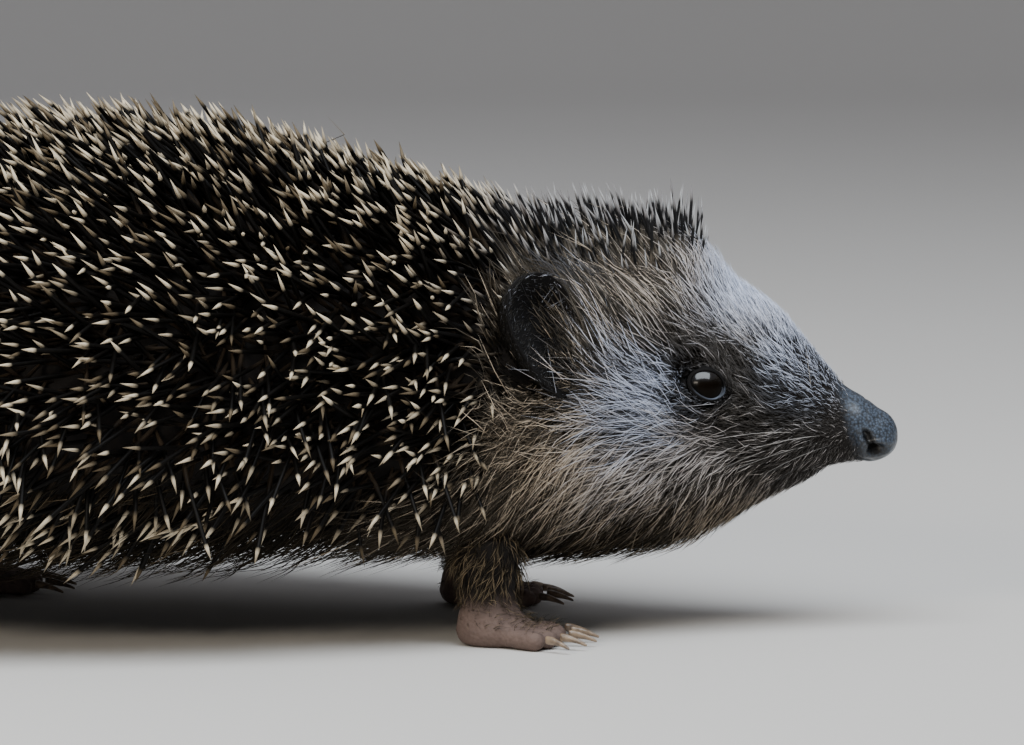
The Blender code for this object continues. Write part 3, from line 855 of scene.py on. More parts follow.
def body_form():
    """The skin of the head and body: the coat's outline, sunk by the coat's depth and given a face."""
    outline = Form(coat_outline())
    back, height = side_view(outline.points)
    quills = quilled(outline.points, outline.normals)
    fur = level(back, FUR_DEPTHS) * MM
    spine = level(back, QUILL_DEPTHS) * MM
    spine = spine * (0.62 + 0.38 * ease(-0.3, 0.35, outline.normals[..., 2]))
    depth = softened(blend(fur, spine, quills), 5)
    for side in SIDES:
        times = Eye(side).spread(outline.points)[3]
        depth = depth * (0.1 + 0.9 * ease(1.1, 3.0, times))
    steep = ease(0.2, 0.6, outline.normals[..., 2]) * ease(50, 36, back) * ease(22, 27, back)
    inward = unit(blend(outline.normals, np.array([0.0, 0.0, 1.0]), rows(steep)))
    dent = 2.4 * MM * ease(49, 58, height) * ease(34, 28, back)
    # The forehead sinks straight down before the crown, and there the skin is drawn smooth.
    sunk = outline.points - inward * rows(depth + dent)
    sunk = blend(sunk, softened(sunk, 24), rows(ease(24, 36, back)))
    front_of_crown = rows(ease(21, 24.5, back) * ease(35, 31, back) * ease(44, 53, height))
    for _ in range(140):
        sunk = blend(sunk, softened(sunk, 1), front_of_crown)
    form = Form(carved(sunk))
    form.depth = blend(depth, np.linalg.norm(outline.points - sunk, axis=-1), quills)
    crown = ease(46, 53, height) * ease(64, 58, back)
    form.pile = blend(depth, np.minimum(depth, fur * 1.1 + 0.4 * MM), crown)
    before_ear = blob(back, height, (50.5, 49), (5.0, 8.0), -12)
    form.pile = form.pile + 1.6 * MM * before_ear
    form.quills = quills
    form.back, form.height = back, height
    form.lay_down(fur_lay(form))
    return form


def carved(points):
    """The face's own shapes, moved in or out from the plain skin: sockets, nostrils, mouth and lip."""
    normals = Form(points).normals
    back, height = side_view(points)
    oval = partial(blob, back, height)
    y = points[..., 1] / MM
    push = np.zeros(points.shape[:2])
    # The mouth and the lips over and under it, then the swelling that the whiskers grow from.
    mouth = 26.3 - (back - 5.2) * 0.104 - 0.9 * ease(15, 21, back)
    below = height - mouth
    along_mouth = ease(3.2, 6.5, back) * ease(22.5, 18.5, back)
    under = ease(0.9, 0.1, np.abs(below))
    push -= 0.55 * under * along_mouth
    push += 0.28 * np.exp(-((below - 1.5) ** 2) / 1.1) * along_mouth
    push += 0.22 * np.exp(-((below + 1.3) ** 2) / 0.9) * along_mouth
    push += 0.5 * oval((11.5, 29.5), (5.0, 2.6), 0.6)
    # The groove behind the nose, the bare pad on its top and the cleft down its front.
    groove = np.exp(-((back - 5.9 - 0.2 * np.abs(height - 29)) ** 2) / 0.2)
    push -= 0.8 * groove * ease(26.2, 27.2, height) * ease(31.6, 30.2, height) * ease(1.5, 2.6, np.abs(y))
    on_top = ease(0.1, 0.6, normals[..., 2])
    swell, dip = np.exp(-((back - 5.8) ** 2) / 2.6), np.exp(-((back - 2.9) ** 2) / 2.0)
    push += on_top * (0.36 * swell - 0.36 * dip)
    push -= 0.3 * np.exp(-(y**2) / 0.12) * ease(30.5, 29.0, height) * ease(5.0, 2.5, back)
    # The nostrils, with a raised rim and a slot that runs up and back from each.
    for sign in SIDES.values():
        run, rise = nostril_ways(back, height)
        slit = np.hypot(run / 1.45, rise / 0.95)
        on_side = ease(0.6, 1.6, y * sign)
        push -= 2.2 * ease(1.15, 0.6, slit) * on_side
        push += 0.22 * np.exp(-((slit - 1.5) ** 2) / 0.1) * on_side
        push -= 1.1 * oval((4.5, 29.8), (1.7, 0.55), 64) * on_side
    points = points + normals * rows(push * MM)
    for side in SIDES:
        points = socketed(points, Eye(side))
    return points


def socketed(points, eye):
    """The skin drawn up round an eyeball to meet its lids, and sunk behind the ball inside them."""
    across, up, out, times = eye.spread(points)
    wide = np.hypot(across, up)
    ball = np.sqrt(np.maximum(eye.radius**2 - wide**2, 0.0))
    rim = blend(ball - 1.3 * MM, ball + 0.14 * MM, ease(0.9, 1.15, times))
    share = ease(2.5, 1.1, times) * (times < 8)
    folds = np.exp(-((times - 1.3) ** 2) / 0.006) + 1.5 * np.exp(-((times - 1.62) ** 2) / 0.014)
    crease = -0.16 * MM * folds * (times < 8)
    lift = (rim - out) * share + crease
    return points + eye.out * rows(lift)


def fur_lay(form):
    """Which way the hair of the body points: back from the nose, up the brow and down the throat."""
    back, height = side_view(form.points)
    aim = np.arctan2(height - 33.0, back + 8.0)
    climb = np.where(aim > 0, aim * 1.6, aim * 2.6)
    climb -= math.radians(18.0) * ease(44, 58, back) * ease(42, 32, height)
    climb -= math.radians(46.0) * ease(27, 15, height) * ease(26, 40, back) * ease(72, 60, back)
    climb += math.radians(24.0) * ease(30, 43, back) * ease(40, 49, height) * ease(70, 58, back)
    climb = np.clip(climb, math.radians(-80.0), math.radians(62.0))
    climb = blend(climb, math.radians(-35.0), ease(66, 84, back))
    y = form.points[..., 1]
    outward = 0.25 * (np.sign(y) * ease(0.0, 6.0, np.abs(y) / MM)) * ease(20, 50, back)
    lay = np.stack([-np.cos(climb), outward, np.sin(climb)], axis=-1)
    for side in SIDES:
        lay = parted(lay, form.points, Eye(side))
    return lay


def parted(lay, points, eye):
    """The lay of the hair turned aside where it would grow over an eye."""
    times = eye.spread(points)[3]
    away = unit(points - eye.centre)
    inward = np.minimum((lay * away).sum(-1) - 0.4, 0.0) * ease(2.6, 1.3, times)
    return lay - away * rows(inward)


def quill_lay(form):
    """Which way the quills point: back along the spine, and down and back on the flanks."""
    height = side_view(form.points)[1]
    drop = math.radians(-62.0) * ease(58, 16, height)
    y = form.points[..., 1]
    outward = 0.45 * (np.sign(y) * ease(0.0, 20.0, np.abs(y) / MM))
    return np.stack([-np.cos(drop), outward, np.sin(drop)], axis=-1)


# ------------------------------------------------------------------ ears, legs, lids and tail


# The ear, from the bottom of its hollow over the rim to its buried foot: how wide each ring is, as a
# share of the rim, and how far out it lies in millimetres.
EAR_RINGS = (
    (0.08, -1.6), (0.3, -1.5), (0.5, -0.7), (0.68, 0.1), (0.82, 0.7), (0.93, 1.35),
    (0.98, 1.6), (1.0, 1.35), (0.97, 0.4), (0.9, -1.4), (0.76, -4.2), (0.55, -8.5),
)


def ear_form(side):
    """One ear as a thin flap round a hollow, which lies in its upper front."""
    low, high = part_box("ear_" + side)
    sign, s = SIDES[side], sizes()
    spots = np.linspace(0, len(EAR_RINGS) - 1, 46)
    wide, out = [np.interp(spots, range(len(EAR_RINGS)), column) for column in zip(*EAR_RINGS)]
    wide, out = [softened(column[:, None], 3, False)[:, 0] for column in (wide, out)]
    turns = np.arange(56) * 2 * math.pi / 56
    ahead, up = np.cos(turns), np.sin(turns)
    proud = np.exp(-((spots - 5.5) ** 2) / 9.0)[:, None]
    rear = 0.5 - 0.4 * ahead + 0.2 * up
    inner = (np.clip(1.0 - wide, 0.0, 1.0) * (spots < 6.0))[:, None]
    x = wide[:, None] * s.ear_half_width * (ahead * (1.0 + 0.36 * up))[None] + inner * 2.2 * MM
    z = wide[:, None] * s.ear_half_height * up[None] + inner * 3.2 * MM
    y = (out[:, None] + proud * (rear[None] * 2.6 - 1.3)) * MM * sign
    ripple = 0.35 * MM * np.sin(turns * 3 + 0.6)[None] * np.exp(-((spots - 3.5) ** 2) / 3.0)[:, None]
    local = np.stack([x, y - ripple * sign, z], axis=-1)
    turn = Matrix.Rotation(-s.ear_turn * sign, 3, "Z") @ Matrix.Rotation(s.ear_lean * sign, 3, "X")
    turn = turn @ Matrix.Rotation(-s.ear_tilt, 3, "Y")
    centre = np.array((low + high) / 2) + np.array([0.3 * MM, -sign * 2.8 * MM, 1.0 * MM])
    points = local @ np.array(turn).T + centre
    if sign > 0:
        points = points[:, ::-1]
    form = Form(points)
    form.pile = np.full(points.shape[:2], 0.6 * MM)
    outer = ease(4.5, 7.5, spots)[:, None]
    rearward = np.array([-0.9, sign * 0.25, 0.3])
    opening = np.array([-0.8, sign * 0.3, -0.35])
    form.lay_down(blend(opening, rearward, rows(outer)) * np.ones(points.shape))
    form.outer = outer * np.ones(points.shape[:2])
    return form


def lid_mesh(side):
    """The pair of lids of one eye, as a soft ring that lies on the eyeball."""
    eye = Eye(side)
    turns = np.linspace(0, 2 * math.pi, 96, endpoint=False)
    half = sizes().eye_opening / 2
    across = np.cos(turns) * half
    up = np.sin(turns) * half_opening(np.clip(np.cos(turns), 0, 1))
    wide = np.hypot(across, up)
    height = np.sqrt(np.maximum(eye.radius**2 - wide**2, (0.35 * eye.radius) ** 2)) + 0.1 * MM
    middle = eye.centre + np.outer(across, eye.forward) + np.outer(up, eye.up) + np.outer(height, eye.out)
    outward = unit(middle - eye.centre)
    run = unit(np.roll(middle, -1, axis=0) - np.roll(middle, 1, axis=0))
    beside = np.cross(run, outward)
    beside *= np.sign((beside * (middle - middle.mean(0))).sum(-1, keepdims=True))
    heavy = 1.0 + 0.5 * np.clip(np.sin(turns), 0, 1)
    corner = np.clip(np.cos(turns + 0.2), 0, 1) ** 9
    height_of_lid = np.linalg.norm(middle - eye.centre, axis=1)
    around = np.linspace(0, 2 * math.pi, 14, endpoint=False)
    rings = np.zeros((len(turns), len(around), 3))
    for i, swing in enumerate(around):
        inner = 0.24 + 0.34 * math.cos(swing) + corner * (0.62 * math.cos(swing) - 0.68)
        on_ball = unit(middle - eye.centre + beside * rows(inner) * MM) * rows(height_of_lid)
        rings[:, i] = eye.centre + on_ball + outward * 0.14 * MM * math.sin(swing) * rows(heavy)
    faces = []
    count, sides = len(turns), len(around)
    for i in range(count):
        for j in range(sides):
            near, far = i * sides, (i + 1) % count * sides
            faces.append((near + j, near + (j + 1) % sides, far + (j + 1) % sides, far + j))
    mesh = bpy.data.meshes.new("lids")
    mesh.from_pydata([tuple(p) for p in rings.reshape(-1, 3)], [], faces)
    with opened(mesh) as shape:
        bmesh.ops.recalc_face_normals(shape, faces=shape.faces)
    return mesh


def joined_copy(name, nodes, extras):
    """The meshes of some solids and some extra meshes as one object, to be remeshed into one skin."""
    mesh = bpy.data.meshes.new(name)
    with opened(mesh) as shape:
        for part in [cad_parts[node].data for node in nodes] + extras:
            shape.from_mesh(part)
    return add_object(name, mesh)


def round_rod(start, end, radius_start, radius_end, steps=8, sides=20):
    """A closed tapered rod, used to carry a limb on into the body."""
    run = (end - start).normalized()
    turn = run.to_track_quat("Z", "Y").to_matrix()
    rings = []
    for i in range(steps):
        share = i / (steps - 1)
        radius = blend(radius_start, radius_end, share)
        centre = start.lerp(end, share)
        swings = [2 * math.pi * j / sides for j in range(sides)]
        rings.append([centre + turn @ Vector((math.cos(t), math.sin(t), 0)) * radius for t in swings])
    return closed_mesh("rod", np.array(rings))


def limb_mesh(name, nodes, extras, shrink):
    """Some solids joined into one smooth skin, and drawn in by the depth of the fur at each height."""
    worked = joined_copy(name, nodes, extras)
    remesh = worked.modifiers.new("One skin", "REMESH")
    remesh.mode = "VOXEL"
    remesh.voxel_size = 0.42 * MM
    mesh = evaluated_mesh(worked)
    points = points_of(mesh)
    soft = rows(0.25 + 0.75 * ease(6.0, 10.0, points[:, 2] / MM))
    for _ in range(36):
        points = blend(points, neighbour_mean(mesh, points), soft * 0.6)
    set_points(mesh, points)
    points = points - normals_of(mesh) * rows(shrink(points[:, 2] / MM) * MM)
    points[:, 2] = np.maximum(points[:, 2], 0.0)
    set_points(mesh, points)
    return mesh


def neighbour_mean(mesh, points):
    """For each point of a mesh, the middle of the points that it shares an edge with."""
    flat = np.empty(len(mesh.edges) * 2, np.int32)
    mesh.edges.foreach_get("vertices", flat)
    ends = flat.reshape(-1, 2)
    total, count = np.zeros(points.shape), np.zeros(len(points))
    for near, far in (ends.T, ends.T[::-1]):
        total += np.stack([np.bincount(near, points[far, k], len(points)) for k in range(3)], axis=1)
        count += np.bincount(near, minlength=len(points))
    return total / rows(np.maximum(count, 1))


def leg_mesh(place):
    """A foot and its leg, carried on up into the body."""
    low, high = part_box(place + "_leg")
    middle = (low + high) / 2
    foot = Vector((middle.x, middle.y, low.z))
    inward = -0.12 * math.copysign(1.0, middle.y)
    ankle, hip = foot - Vector((0, 0, 1.2 * MM)), foot + Vector((0, inward * 14 * MM, 26 * MM))
    rod = round_rod(ankle, hip, 4.2 * MM, 7.5 * MM)
    return limb_mesh(place, [place + "_leg", place + "_foot"], [rod], lambda z: 1.3 * ease(4.5, 8.5, z))


def tail_mesh():
    """The tail, carried on forward into the rump."""
    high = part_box("tail")[1]
    start = Vector((high.x - 4 * MM, 0, high.z - 3.5 * MM))
    rod = round_rod(start, start + Vector((16 * MM, 0, 6 * MM)), 3.0 * MM, 5.0 * MM)
    return limb_mesh("tail", ["tail"], [rod], lambda z: np.full_like(z, 0.6))


def joined_skin(body, others):
    """The body and everything that grows out of it as one closed mesh."""
    worked = add_object("skin_raw", body)
    helpers = []
    for mesh in others:
        helper = add_object("helper", mesh)
        helpers.append(helper)
        join = worked.modifiers.new("Join", "BOOLEAN")
        join.operation = "UNION"
        join.object = helper
        join.solver = "MANIFOLD"
    mesh = evaluated_mesh(worked)
    for helper in helpers:
        bpy.data.objects.remove(helper)
    mesh.materials.clear()
    mesh.shade_smooth()
    return mesh


# ------------------------------------------------------------------ coat


HAIR_FOOT, QUILL_FOOT = 0.3 * MM, 0.6 * MM  # how deep under the skin they start
HAIR_FLOOR, QUILL_FLOOR = 0.4 * MM, 1.0 * MM  # the least height over the floor that they keep
QUILL_WIDTHS = np.array([0.5, 1.0, 0.86, 0.74, 0.0])  # at its rings, as shares of the widest
QUILL_TRIES = 30000  # how many places for a quill are tried in each piece


def strand_faces(rings, corners):
    """The faces of one closed strand, and for each of their corners its ring and how far round it is."""
    faces, spots = [], []
    for i in range(rings - 2):
        for j in range(corners):
            k = (j + 1) % corners
            faces.append([i * corners + j, i * corners + k, (i + 1) * corners + k, (i + 1) * corners + j])
            spots.append([(i, j), (i, j + 1), (i + 1, j + 1), (i + 1, j)])
    last = (rings - 2) * corners
    for j in range(corners):
        faces.append([last + j, last + (j + 1) % corners, last + corners])
        spots.append([(rings - 2, j), (rings - 2, j + 1), (rings - 1, j + 0.5)])
    faces.append(list(range(corners))[::-1])
    spots.append([(0.1 * (j > 0), j) for j in range(corners)][::-1])
    return faces, np.concatenate(spots)


def strands(name, paths, sideways, upward, radii, corners, owners, homes, values):
    """Tapered closed strands along paths whose last point is the tip, as one mesh.

    sideways and upward are the two ways across each path, corners is how many sides a strand has, and
    owners says which tuft each strand is in and which place it has there, as (tuft, place, places).
    homes are the tufts' places on the map, and values are numbers for each strand or for each of its
    rings. Each tuft has its own small patch of the map, with the strand's length across it.
    """
    count, rings = paths.shape[:2]
    swings = np.arange(corners) * 2 * math.pi / corners
    across = sideways[:, :-1, None, :] * np.cos(swings)[None, None, :, None]
    rise = upward[:, :-1, None, :] * np.sin(swings)[None, None, :, None]
    wall = paths[:, :-1, None, :] + (across + rise) * radii[:, :-1, None, None]
    points = np.concatenate([wall.reshape(count, -1, 3), paths[:, -1:]], axis=1)
    each = points.shape[1]

    faces, spots = strand_faces(rings, corners)
    loops = np.concatenate(faces)
    starts = np.cumsum([0] + [len(face) for face in faces[:-1]])
    mesh = bpy.data.meshes.new(name)
    mesh.vertices.add(count * each)
    mesh.vertices.foreach_set("co", np.ascontiguousarray(points, np.float32).ravel())
    mesh.loops.add(count * len(loops))
    turned = loops[None] + np.arange(count)[:, None] * each
    mesh.loops.foreach_set("vertex_index", turned.ravel().astype(np.int32))
    mesh.polygons.add(count * len(faces))
    begins = starts[None] + np.arange(count)[:, None] * len(loops)
    mesh.polygons.foreach_set("loop_start", begins.ravel().astype(np.int32))
    mesh.update(calc_edges=True)
    mesh.shade_smooth()

    tuft, place, places = owners
    lengthwise = spots[:, 0] / (rings - 1) - 0.5
    breadthwise = (rows(place) + spots[None, :, 1] / corners) / rows(places) - 0.5
    across_map = homes[tuft, :1] + lengthwise[None] * PATCH
    up_map = homes[tuft, 1:] + breadthwise * PATCH
    chart = np.stack([across_map, up_map], axis=-1)
    layer = mesh.uv_layers.new(name="OFBake")
    layer.uv.foreach_set("vector", np.ascontiguousarray(chart, np.float32).ravel())

    spread = {}
    for label, numbers in values.items():
        if numbers.ndim == 1:
            numbers = np.repeat(rows(numbers), rings, axis=1)
        wall = np.repeat(numbers[:, :-1], corners, axis=1)
        spread[label] = np.concatenate([wall, numbers[:, -1:]], axis=1).ravel()
    set_values(mesh, spread)
    return add_object(name, mesh)


def homes_on_map(first, second):
    """Places on a piece's map, from two measures of where its tufts grow, spread to fill the map."""
    spots = []
    for measure in (first, second):
        low, high = measure.min(), measure.max()
        spots.append(PATCH + (measure - low) / max(high - low, 1e-9) * (1.0 - 2 * PATCH))
    return np.stack(spots, axis=1)


def pale_bar(share):
    """The height that this share of the means of two random numbers lies under."""
    return np.where(share < 0.5, np.sqrt(share / 2), 1.0 - np.sqrt((1.0 - share) / 2))


def hair_shades(pale, tuft, over, chance):
    """How bright each hair's point is, where pale is the share of pale hairs there.

    over is true for the hairs that lie over the others. Most of the dark ones lie under them, and the hairs
    underneath are darker: partly darker underfur, partly painted shade deep in the coat.
    """
    total = len(tuft)
    glow = 0.55 + 0.45 * np.sqrt(pale)
    pale = np.clip(pale * np.where(over, 1.2, 0.3 + 0.65 * pale), 0.0, 1.0)
    lot = 0.5 * chance.random(tuft[-1] + 1)[tuft] + 0.5 * chance.random(total)
    bright = chance.uniform(0.76, 1.06, total) * glow
    # The hairs underneath are darker: partly darker underfur, partly painted shade deep in the coat.
    bright = np.where(over, bright, chance.uniform(0.0, 0.36, total) + 0.5 * pale**2)
    return np.where(lot < pale_bar(pale), bright, chance.uniform(0.0, 0.14, total))


def drift(points):
    """A slow swing of the lay from place to place, about -1 to 1, that draws hair into loose locks."""
    chance = np.random.default_rng(3)
    swing = 0.0
    for length in (4.5, 6.0, 8.0, 11.0, 15.0):
        wave = unit(chance.normal(0.0, 1.0, 3)) * 2 * math.pi / (length * MM)
        swing = swing + np.sin(points @ wave + chance.uniform(0.0, 2 * math.pi))
    return swing / 2.2


def tufts(name, form, weight, count, members, steps, length, radius, seed, wild, clump=0.15, marks=None):
    """A piece of fur: tufts of hair that follow the lay of the coat over a form.

    The first hair of each tuft is the longest and lies over the others. weight, length and radius are
    grids over the form, and so are marks, which replace the markings. wild is how far a tuft swerves
    from the lay, in radians, and clump is how far its hairs draw together at their tips.
    """
    chance = np.random.default_rng(seed)
    ring, turn = form.scatter(weight, count, chance)
    tuft = np.repeat(np.arange(count), members)
    place = np.tile(np.arange(members), count)
    total = count * members
    over = place == 0
    long = (form.read(length, ring, turn) * chance.uniform(0.75, 1.1, count))[tuft]
    tail = np.clip(np.exp(chance.normal(0.1, 0.26, total)), 0.7, 1.8)
    long = long * np.where(over, tail, chance.uniform(0.5, 0.85, total))
    swerve = chance.normal(0.0, wild, count) + 1.3 * wild * drift(form.read(form.points, ring, turn))
    swerve = swerve[tuft] + chance.normal(0.0, wild, total) * np.where(over, 1.0, 0.5)
    ring, turn = ring[tuft], turn[tuft]
    places, normals, sideways, depths = form.follow(ring, turn, swerve, long, steps)
    share = np.linspace(0.0, 1.0, steps + 1)
    stand = np.where(over, chance.uniform(0.65, 1.12, total), chance.uniform(0.3, 0.75, total))
    lift = depths * (1.0 - (1.0 - share[None]) ** 1.7) * rows(stand)

    spread = np.minimum(0.34 * MM + 0.045 * long, 0.15 * long)
    root_side, root_up = chance.normal(0.0, 1.0, (2, total)) * spread
    tip_side = root_side * (1.0 - clump) + chance.normal(0.0, 0.07, total) * long
    tip_up = chance.normal(0.0, 0.1, total) * depths[:, -1]
    bend = chance.normal(0.0, 0.06, total) * long
    aside = blend(rows(root_side), rows(tip_side), share[None])
    aside = aside + rows(bend) * np.sin(share * math.pi)[None]
    lift = lift + rows(tip_up) * share[None] ** 2
    run = unit(np.gradient(places, axis=1))
    stretch = rows(root_up) * (1 - share[None])
    paths = places + normals * rows(lift) + sideways * rows(aside) + run * rows(stretch)
    paths[:, 0] -= normals[:, 0] * HAIR_FOOT
    paths[..., 2] = np.maximum(paths[..., 2], HAIR_FLOOR)
    thick = form.read(radius, ring, turn) * chance.uniform(0.75, 1.2, total)
    radii = rows(thick) * (1.0 - 0.5 * share[None] ** 2)

    roots = places[over, 0]
    values = markings(roots)
    for label, mark in (marks or {}).items():
        values[label] = form.read(mark, ring[over], turn[over])
    each = {label: numbers[tuft] for label, numbers in values.items()}
    each["shade"] = hair_shades(each.pop("pale"), tuft, over, chance)
    each["along"] = np.repeat(share[None], total, axis=0)
    homes = homes_on_map(roots[:, 0], form.turn_on_map(ring, turn)[over])
    owners = (tuft, place, np.full(total, members))
    piece = strands(name, paths, sideways, normals, radii, 3, owners, homes, each)
    piece.data.materials.append(bpy.data.materials["hedgehog_hair"])
    return piece


def spaced(points, gap):
    """Which points to keep so that no two kept ones are closer than the gap."""
    kept, taken = [], {}
    cells = np.floor(points / gap).astype(int)
    around = [(i, j, k) for i in (-1, 0, 1) for j in (-1, 0, 1) for k in (-1, 0, 1)]
    for index, (cell, point) in enumerate(zip(map(tuple, cells), points)):
        near = (taken.get((cell[0] + i, cell[1] + j, cell[2] + k)) for i, j, k in around)
        if all(((point - points[n]) ** 2).sum() >= gap**2 for group in near if group for n in group):
            taken.setdefault(cell, []).append(index)
            kept.append(index)
    return np.array(kept)


def quill_rings(tip):
    """How far along each quill its rings lie. tip is the share of its length that its point takes."""
    shaft = 1.0 - tip
    return np.stack([0 * tip, 0.45 * shaft, shaft, shaft + 0.28 * tip, 1 + 0 * tip], axis=1)


def quill_headings(roots, normals, ahead, head, chance):
    """Which way each quill points: raised from the lay on the body, and upright where head is 1."""
    count = len(roots)
    back, height = side_view(roots)
    aside = np.cross(normals, ahead)
    swerve = np.clip(chance.normal(0.0, 0.62, count), -1.2, 1.2) * blend(0.6, 1.0, ease(14, 30, height))
    rise = np.clip(np.radians(37.0 + chance.normal(0.0, 9.0, count)), 0.25, 1.2)
    flat = ahead * rows(np.cos(swerve)) + aside * rows(np.sin(swerve))
    lying = normals * rows(np.sin(rise)) + flat * rows(np.cos(rise))
    climb = blend(88.0, 58.0, ease(27, 58, back)) + 9.0 * drift(roots)
    climb = np.radians(climb + chance.normal(0.0, 8.0, count))
    outward = 0.012 * roots[:, 1] / MM + 0.16 * drift(roots[:, ::-1]) + chance.normal(0.0, 0.14, count)
    upright = np.stack([-np.cos(climb), outward, np.sin(climb)], axis=1) + normals * 0.25
    return unit(blend(lying, unit(upright), rows(head)))


def quill_piece(name, form, part, gap, seed):
    """Straight pointed quills over part of the body, evenly spaced, and crossing as they lie."""
    chance = np.random.default_rng(seed)
    s = sizes()
    ring, turn = form.scatter(1.0 * (part & (form.quills > 0.5)), QUILL_TRIES, chance)
    order = chance.permutation(QUILL_TRIES)
    ring, turn = ring[order], turn[order]
    kept = spaced(form.read(form.points, ring, turn), gap)
    ring, turn = ring[kept], turn[kept]
    roots = form.read(form.points, ring, turn)
    count = len(kept)
    normals = unit(form.read(form.normals, ring, turn))
    back, height = side_view(roots)
    head = ease(66, 50, back) * ease(38, 48, height)
    heading = quill_headings(roots, normals, unit(form.read(form.ahead, ring, turn)), head, chance)
    straight = np.maximum((heading * normals).sum(1), blend(0.3, 0.7, head))
    most = blend(s.quill_length, s.crown_length, head)
    depth = form.read(form.depth, ring, turn)
    long = np.minimum(depth / straight, most) * chance.uniform(blend(0.8, 0.66, head), 1.06)
    tip = chance.uniform(2.5, 4.0, count) * blend(1.0, 0.9, head) * MM
    shares = quill_rings(tip / np.maximum(long, 6 * MM))
    sag = unit(np.cross(heading, chance.normal(0.0, 1.0, (count, 3)))) * rows(long * 0.03)
    paths = (roots - normals * QUILL_FOOT)[:, None] + heading[:, None] * rows(rows(long) * shares)
    paths = paths + sag[:, None] * rows(np.sin(shares * math.pi))
    paths[..., 2] = np.maximum(paths[..., 2], QUILL_FLOOR)
    beside = unit(np.cross(heading, normals + chance.normal(0, 0.05, (count, 3))))
    thick = s.quill_radius * blend(1.0, 0.6, head) * chance.uniform(0.85, 1.12, count)
    values = {
        "along": shares,
        "shade": chance.random(count),
        "crown": head,
        "point": np.repeat(np.array([[0.0, 0.0, 0.0, 1.0, 1.0]]), count, axis=0),
    }
    owners = (np.arange(count), np.zeros(count), np.ones(count))
    homes = homes_on_map(roots[:, 0], form.turn_on_map(ring, turn))
    rings = len(QUILL_WIDTHS)
    wide = [np.repeat(way[:, None], rings, axis=1) for way in (beside, np.cross(beside, heading))]
    piece = strands(name, paths, *wide, rows(thick) * QUILL_WIDTHS[None], 5, owners, homes, values)
    piece.data.materials.append(bpy.data.materials["hedgehog_quill"])
    return piece


# ------------------------------------------------------------------ operators


FORMS = {}  # what the coat grows on, made with the skin: the body, each ear, each leg and the tail


def check_filled(mesh, name):
    """Raises an error if a mesh came out empty."""
    if not len(mesh.vertices):
        raise RuntimeError(f"{name} has no mesh")


class HEDGEHOG_OT_finishes(bpy.types.Operator):
    """Makes the materials of the skin, the coat, the eyes and the claws"""

    bl_idname = "hedgehog.finishes"
    bl_label = "Finishes"

    def execute(self, context):
        for make in (skin_finish, hair_finish, quill_finish, whisker_finish, eye_finish, claw_finish):
            make()
        return {"FINISHED"}


class HEDGEHOG_OT_skin(bpy.types.Operator):
    """Makes one skin for the body, head, ears, legs, feet and tail"""

    bl_idname = "hedgehog.skin"
    bl_label = "Skin"

    def execute(self, context):
        body = body_form()
        ears = {side: ear_form(side) for side in SIDES}
        FORMS["body"] = body
        FORMS.update({"ear_" + side: ear for side, ear in ears.items()})
        others = [closed_mesh("ear", ear.points) for ear in ears.values()]
        others += [lid_mesh(side) for side in SIDES]
        for place in PLACES:
            leg = leg_mesh(place)
            FORMS[place] = Limb(leg, 1.3 * MM, np.array([-0.35, 0.0, -1.0]), np.array([1.0, 0.0, -0.2]))
            others.append(leg)
        tail = tail_mesh()
        rearward = np.array([-1.0, 0.0, -0.4])
        FORMS["tail"] = Limb(tail, 1.5 * MM, rearward, rearward)
        mesh = joined_skin(closed_mesh("body", body.points), others + [tail])
        mesh.name = "skin"
        check_filled(mesh, "skin")
        set_values(mesh, skin_marks(points_of(mesh)))
        skin = add_object("skin", mesh)
        mesh.materials.append(bpy.data.materials["hedgehog_skin"])
        limbs = [f"{place}_{part}" for place in PLACES for part in ("leg", "foot")]
        finish_piece(skin, "face_fur", *FLESH_NODES, *limbs)
        return {"FINISHED"}


def skin_marks(points):
    """The markings of the skin, with its bare parts: nose, feet, lids and the moist rim of each eye, whose
    pale bluish line is a painted reflection. The lids' dark also paints shade in the nostrils and on the
    lower part of the nose.
    """
    back, height = side_view(points)
    oval = partial(blob, back, height)
    marks = markings(points)
    # Behind the head the skin keeps no pale share and stays near-black, as painted shade between the
    # quills.
    marks["pale"] = marks["pale"] * ease(58, 52, back)
    lid, rim = np.zeros(len(points)), np.zeros(len(points))
    for side in SIDES:
        across, up, _, times = Eye(side).spread(points)
        lid = np.maximum(lid, ease(1.7, 1.4, times))
        # The moist rim of the lower lid, strongest towards the front: its pale bluish line is a painted
        # reflection of the sky.
        front_and_low = ease(0.9, -0.3, up / MM) * ease(-2.6, -1.4, across / MM)
        wet = blend(0.2, 0.75, ease(-1, 2.5, across / MM)) * blend(0.24, 1.0, ease(0.86, 0.97, times))
        rim = np.maximum(rim, ease(1.07, 1.02, times) * front_and_low * wet)
        low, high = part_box("ear_" + side)
        away = (points - np.array((low + high) / 2)) / np.array([8.0, 7.0, 13.0]) / MM
        lid = np.maximum(lid, ease(1.1, 0.9, np.linalg.norm(away, axis=1)))
    marks["rim"] = rim
    marks["nose"] = ease(8.2, 5.4, back - 0.3 * (height - 30))
    # Painted shade in each nostril, in the slot that runs up from it and round its wing, drawn with the
    # lids' dark.
    run, rise = nostril_ways(back, height)
    wide = np.abs(points[:, 1])
    lid = np.maximum(lid, ease(1.0, 0.75, np.hypot(run / 1.5, rise)) * (wide < 4.1 * MM))
    wing = oval((4.8, 27.4), (3.4, 2.4), -10)
    slot = oval((4.4, 29.7), (1.9, 0.8), 64)
    lid = np.maximum(lid, either(0.6 * wing, slot) * (back < 9) * ease(1.0, 2.2, wide / MM))
    # Painted shade on the lower part of the nose and below it.
    marks["lid"] = np.maximum(lid, 0.55 * ease(28.6, 26.0, height) * (back < 9))
    marks["foot"] = ease(9.0, 4.0, height)
    return marks


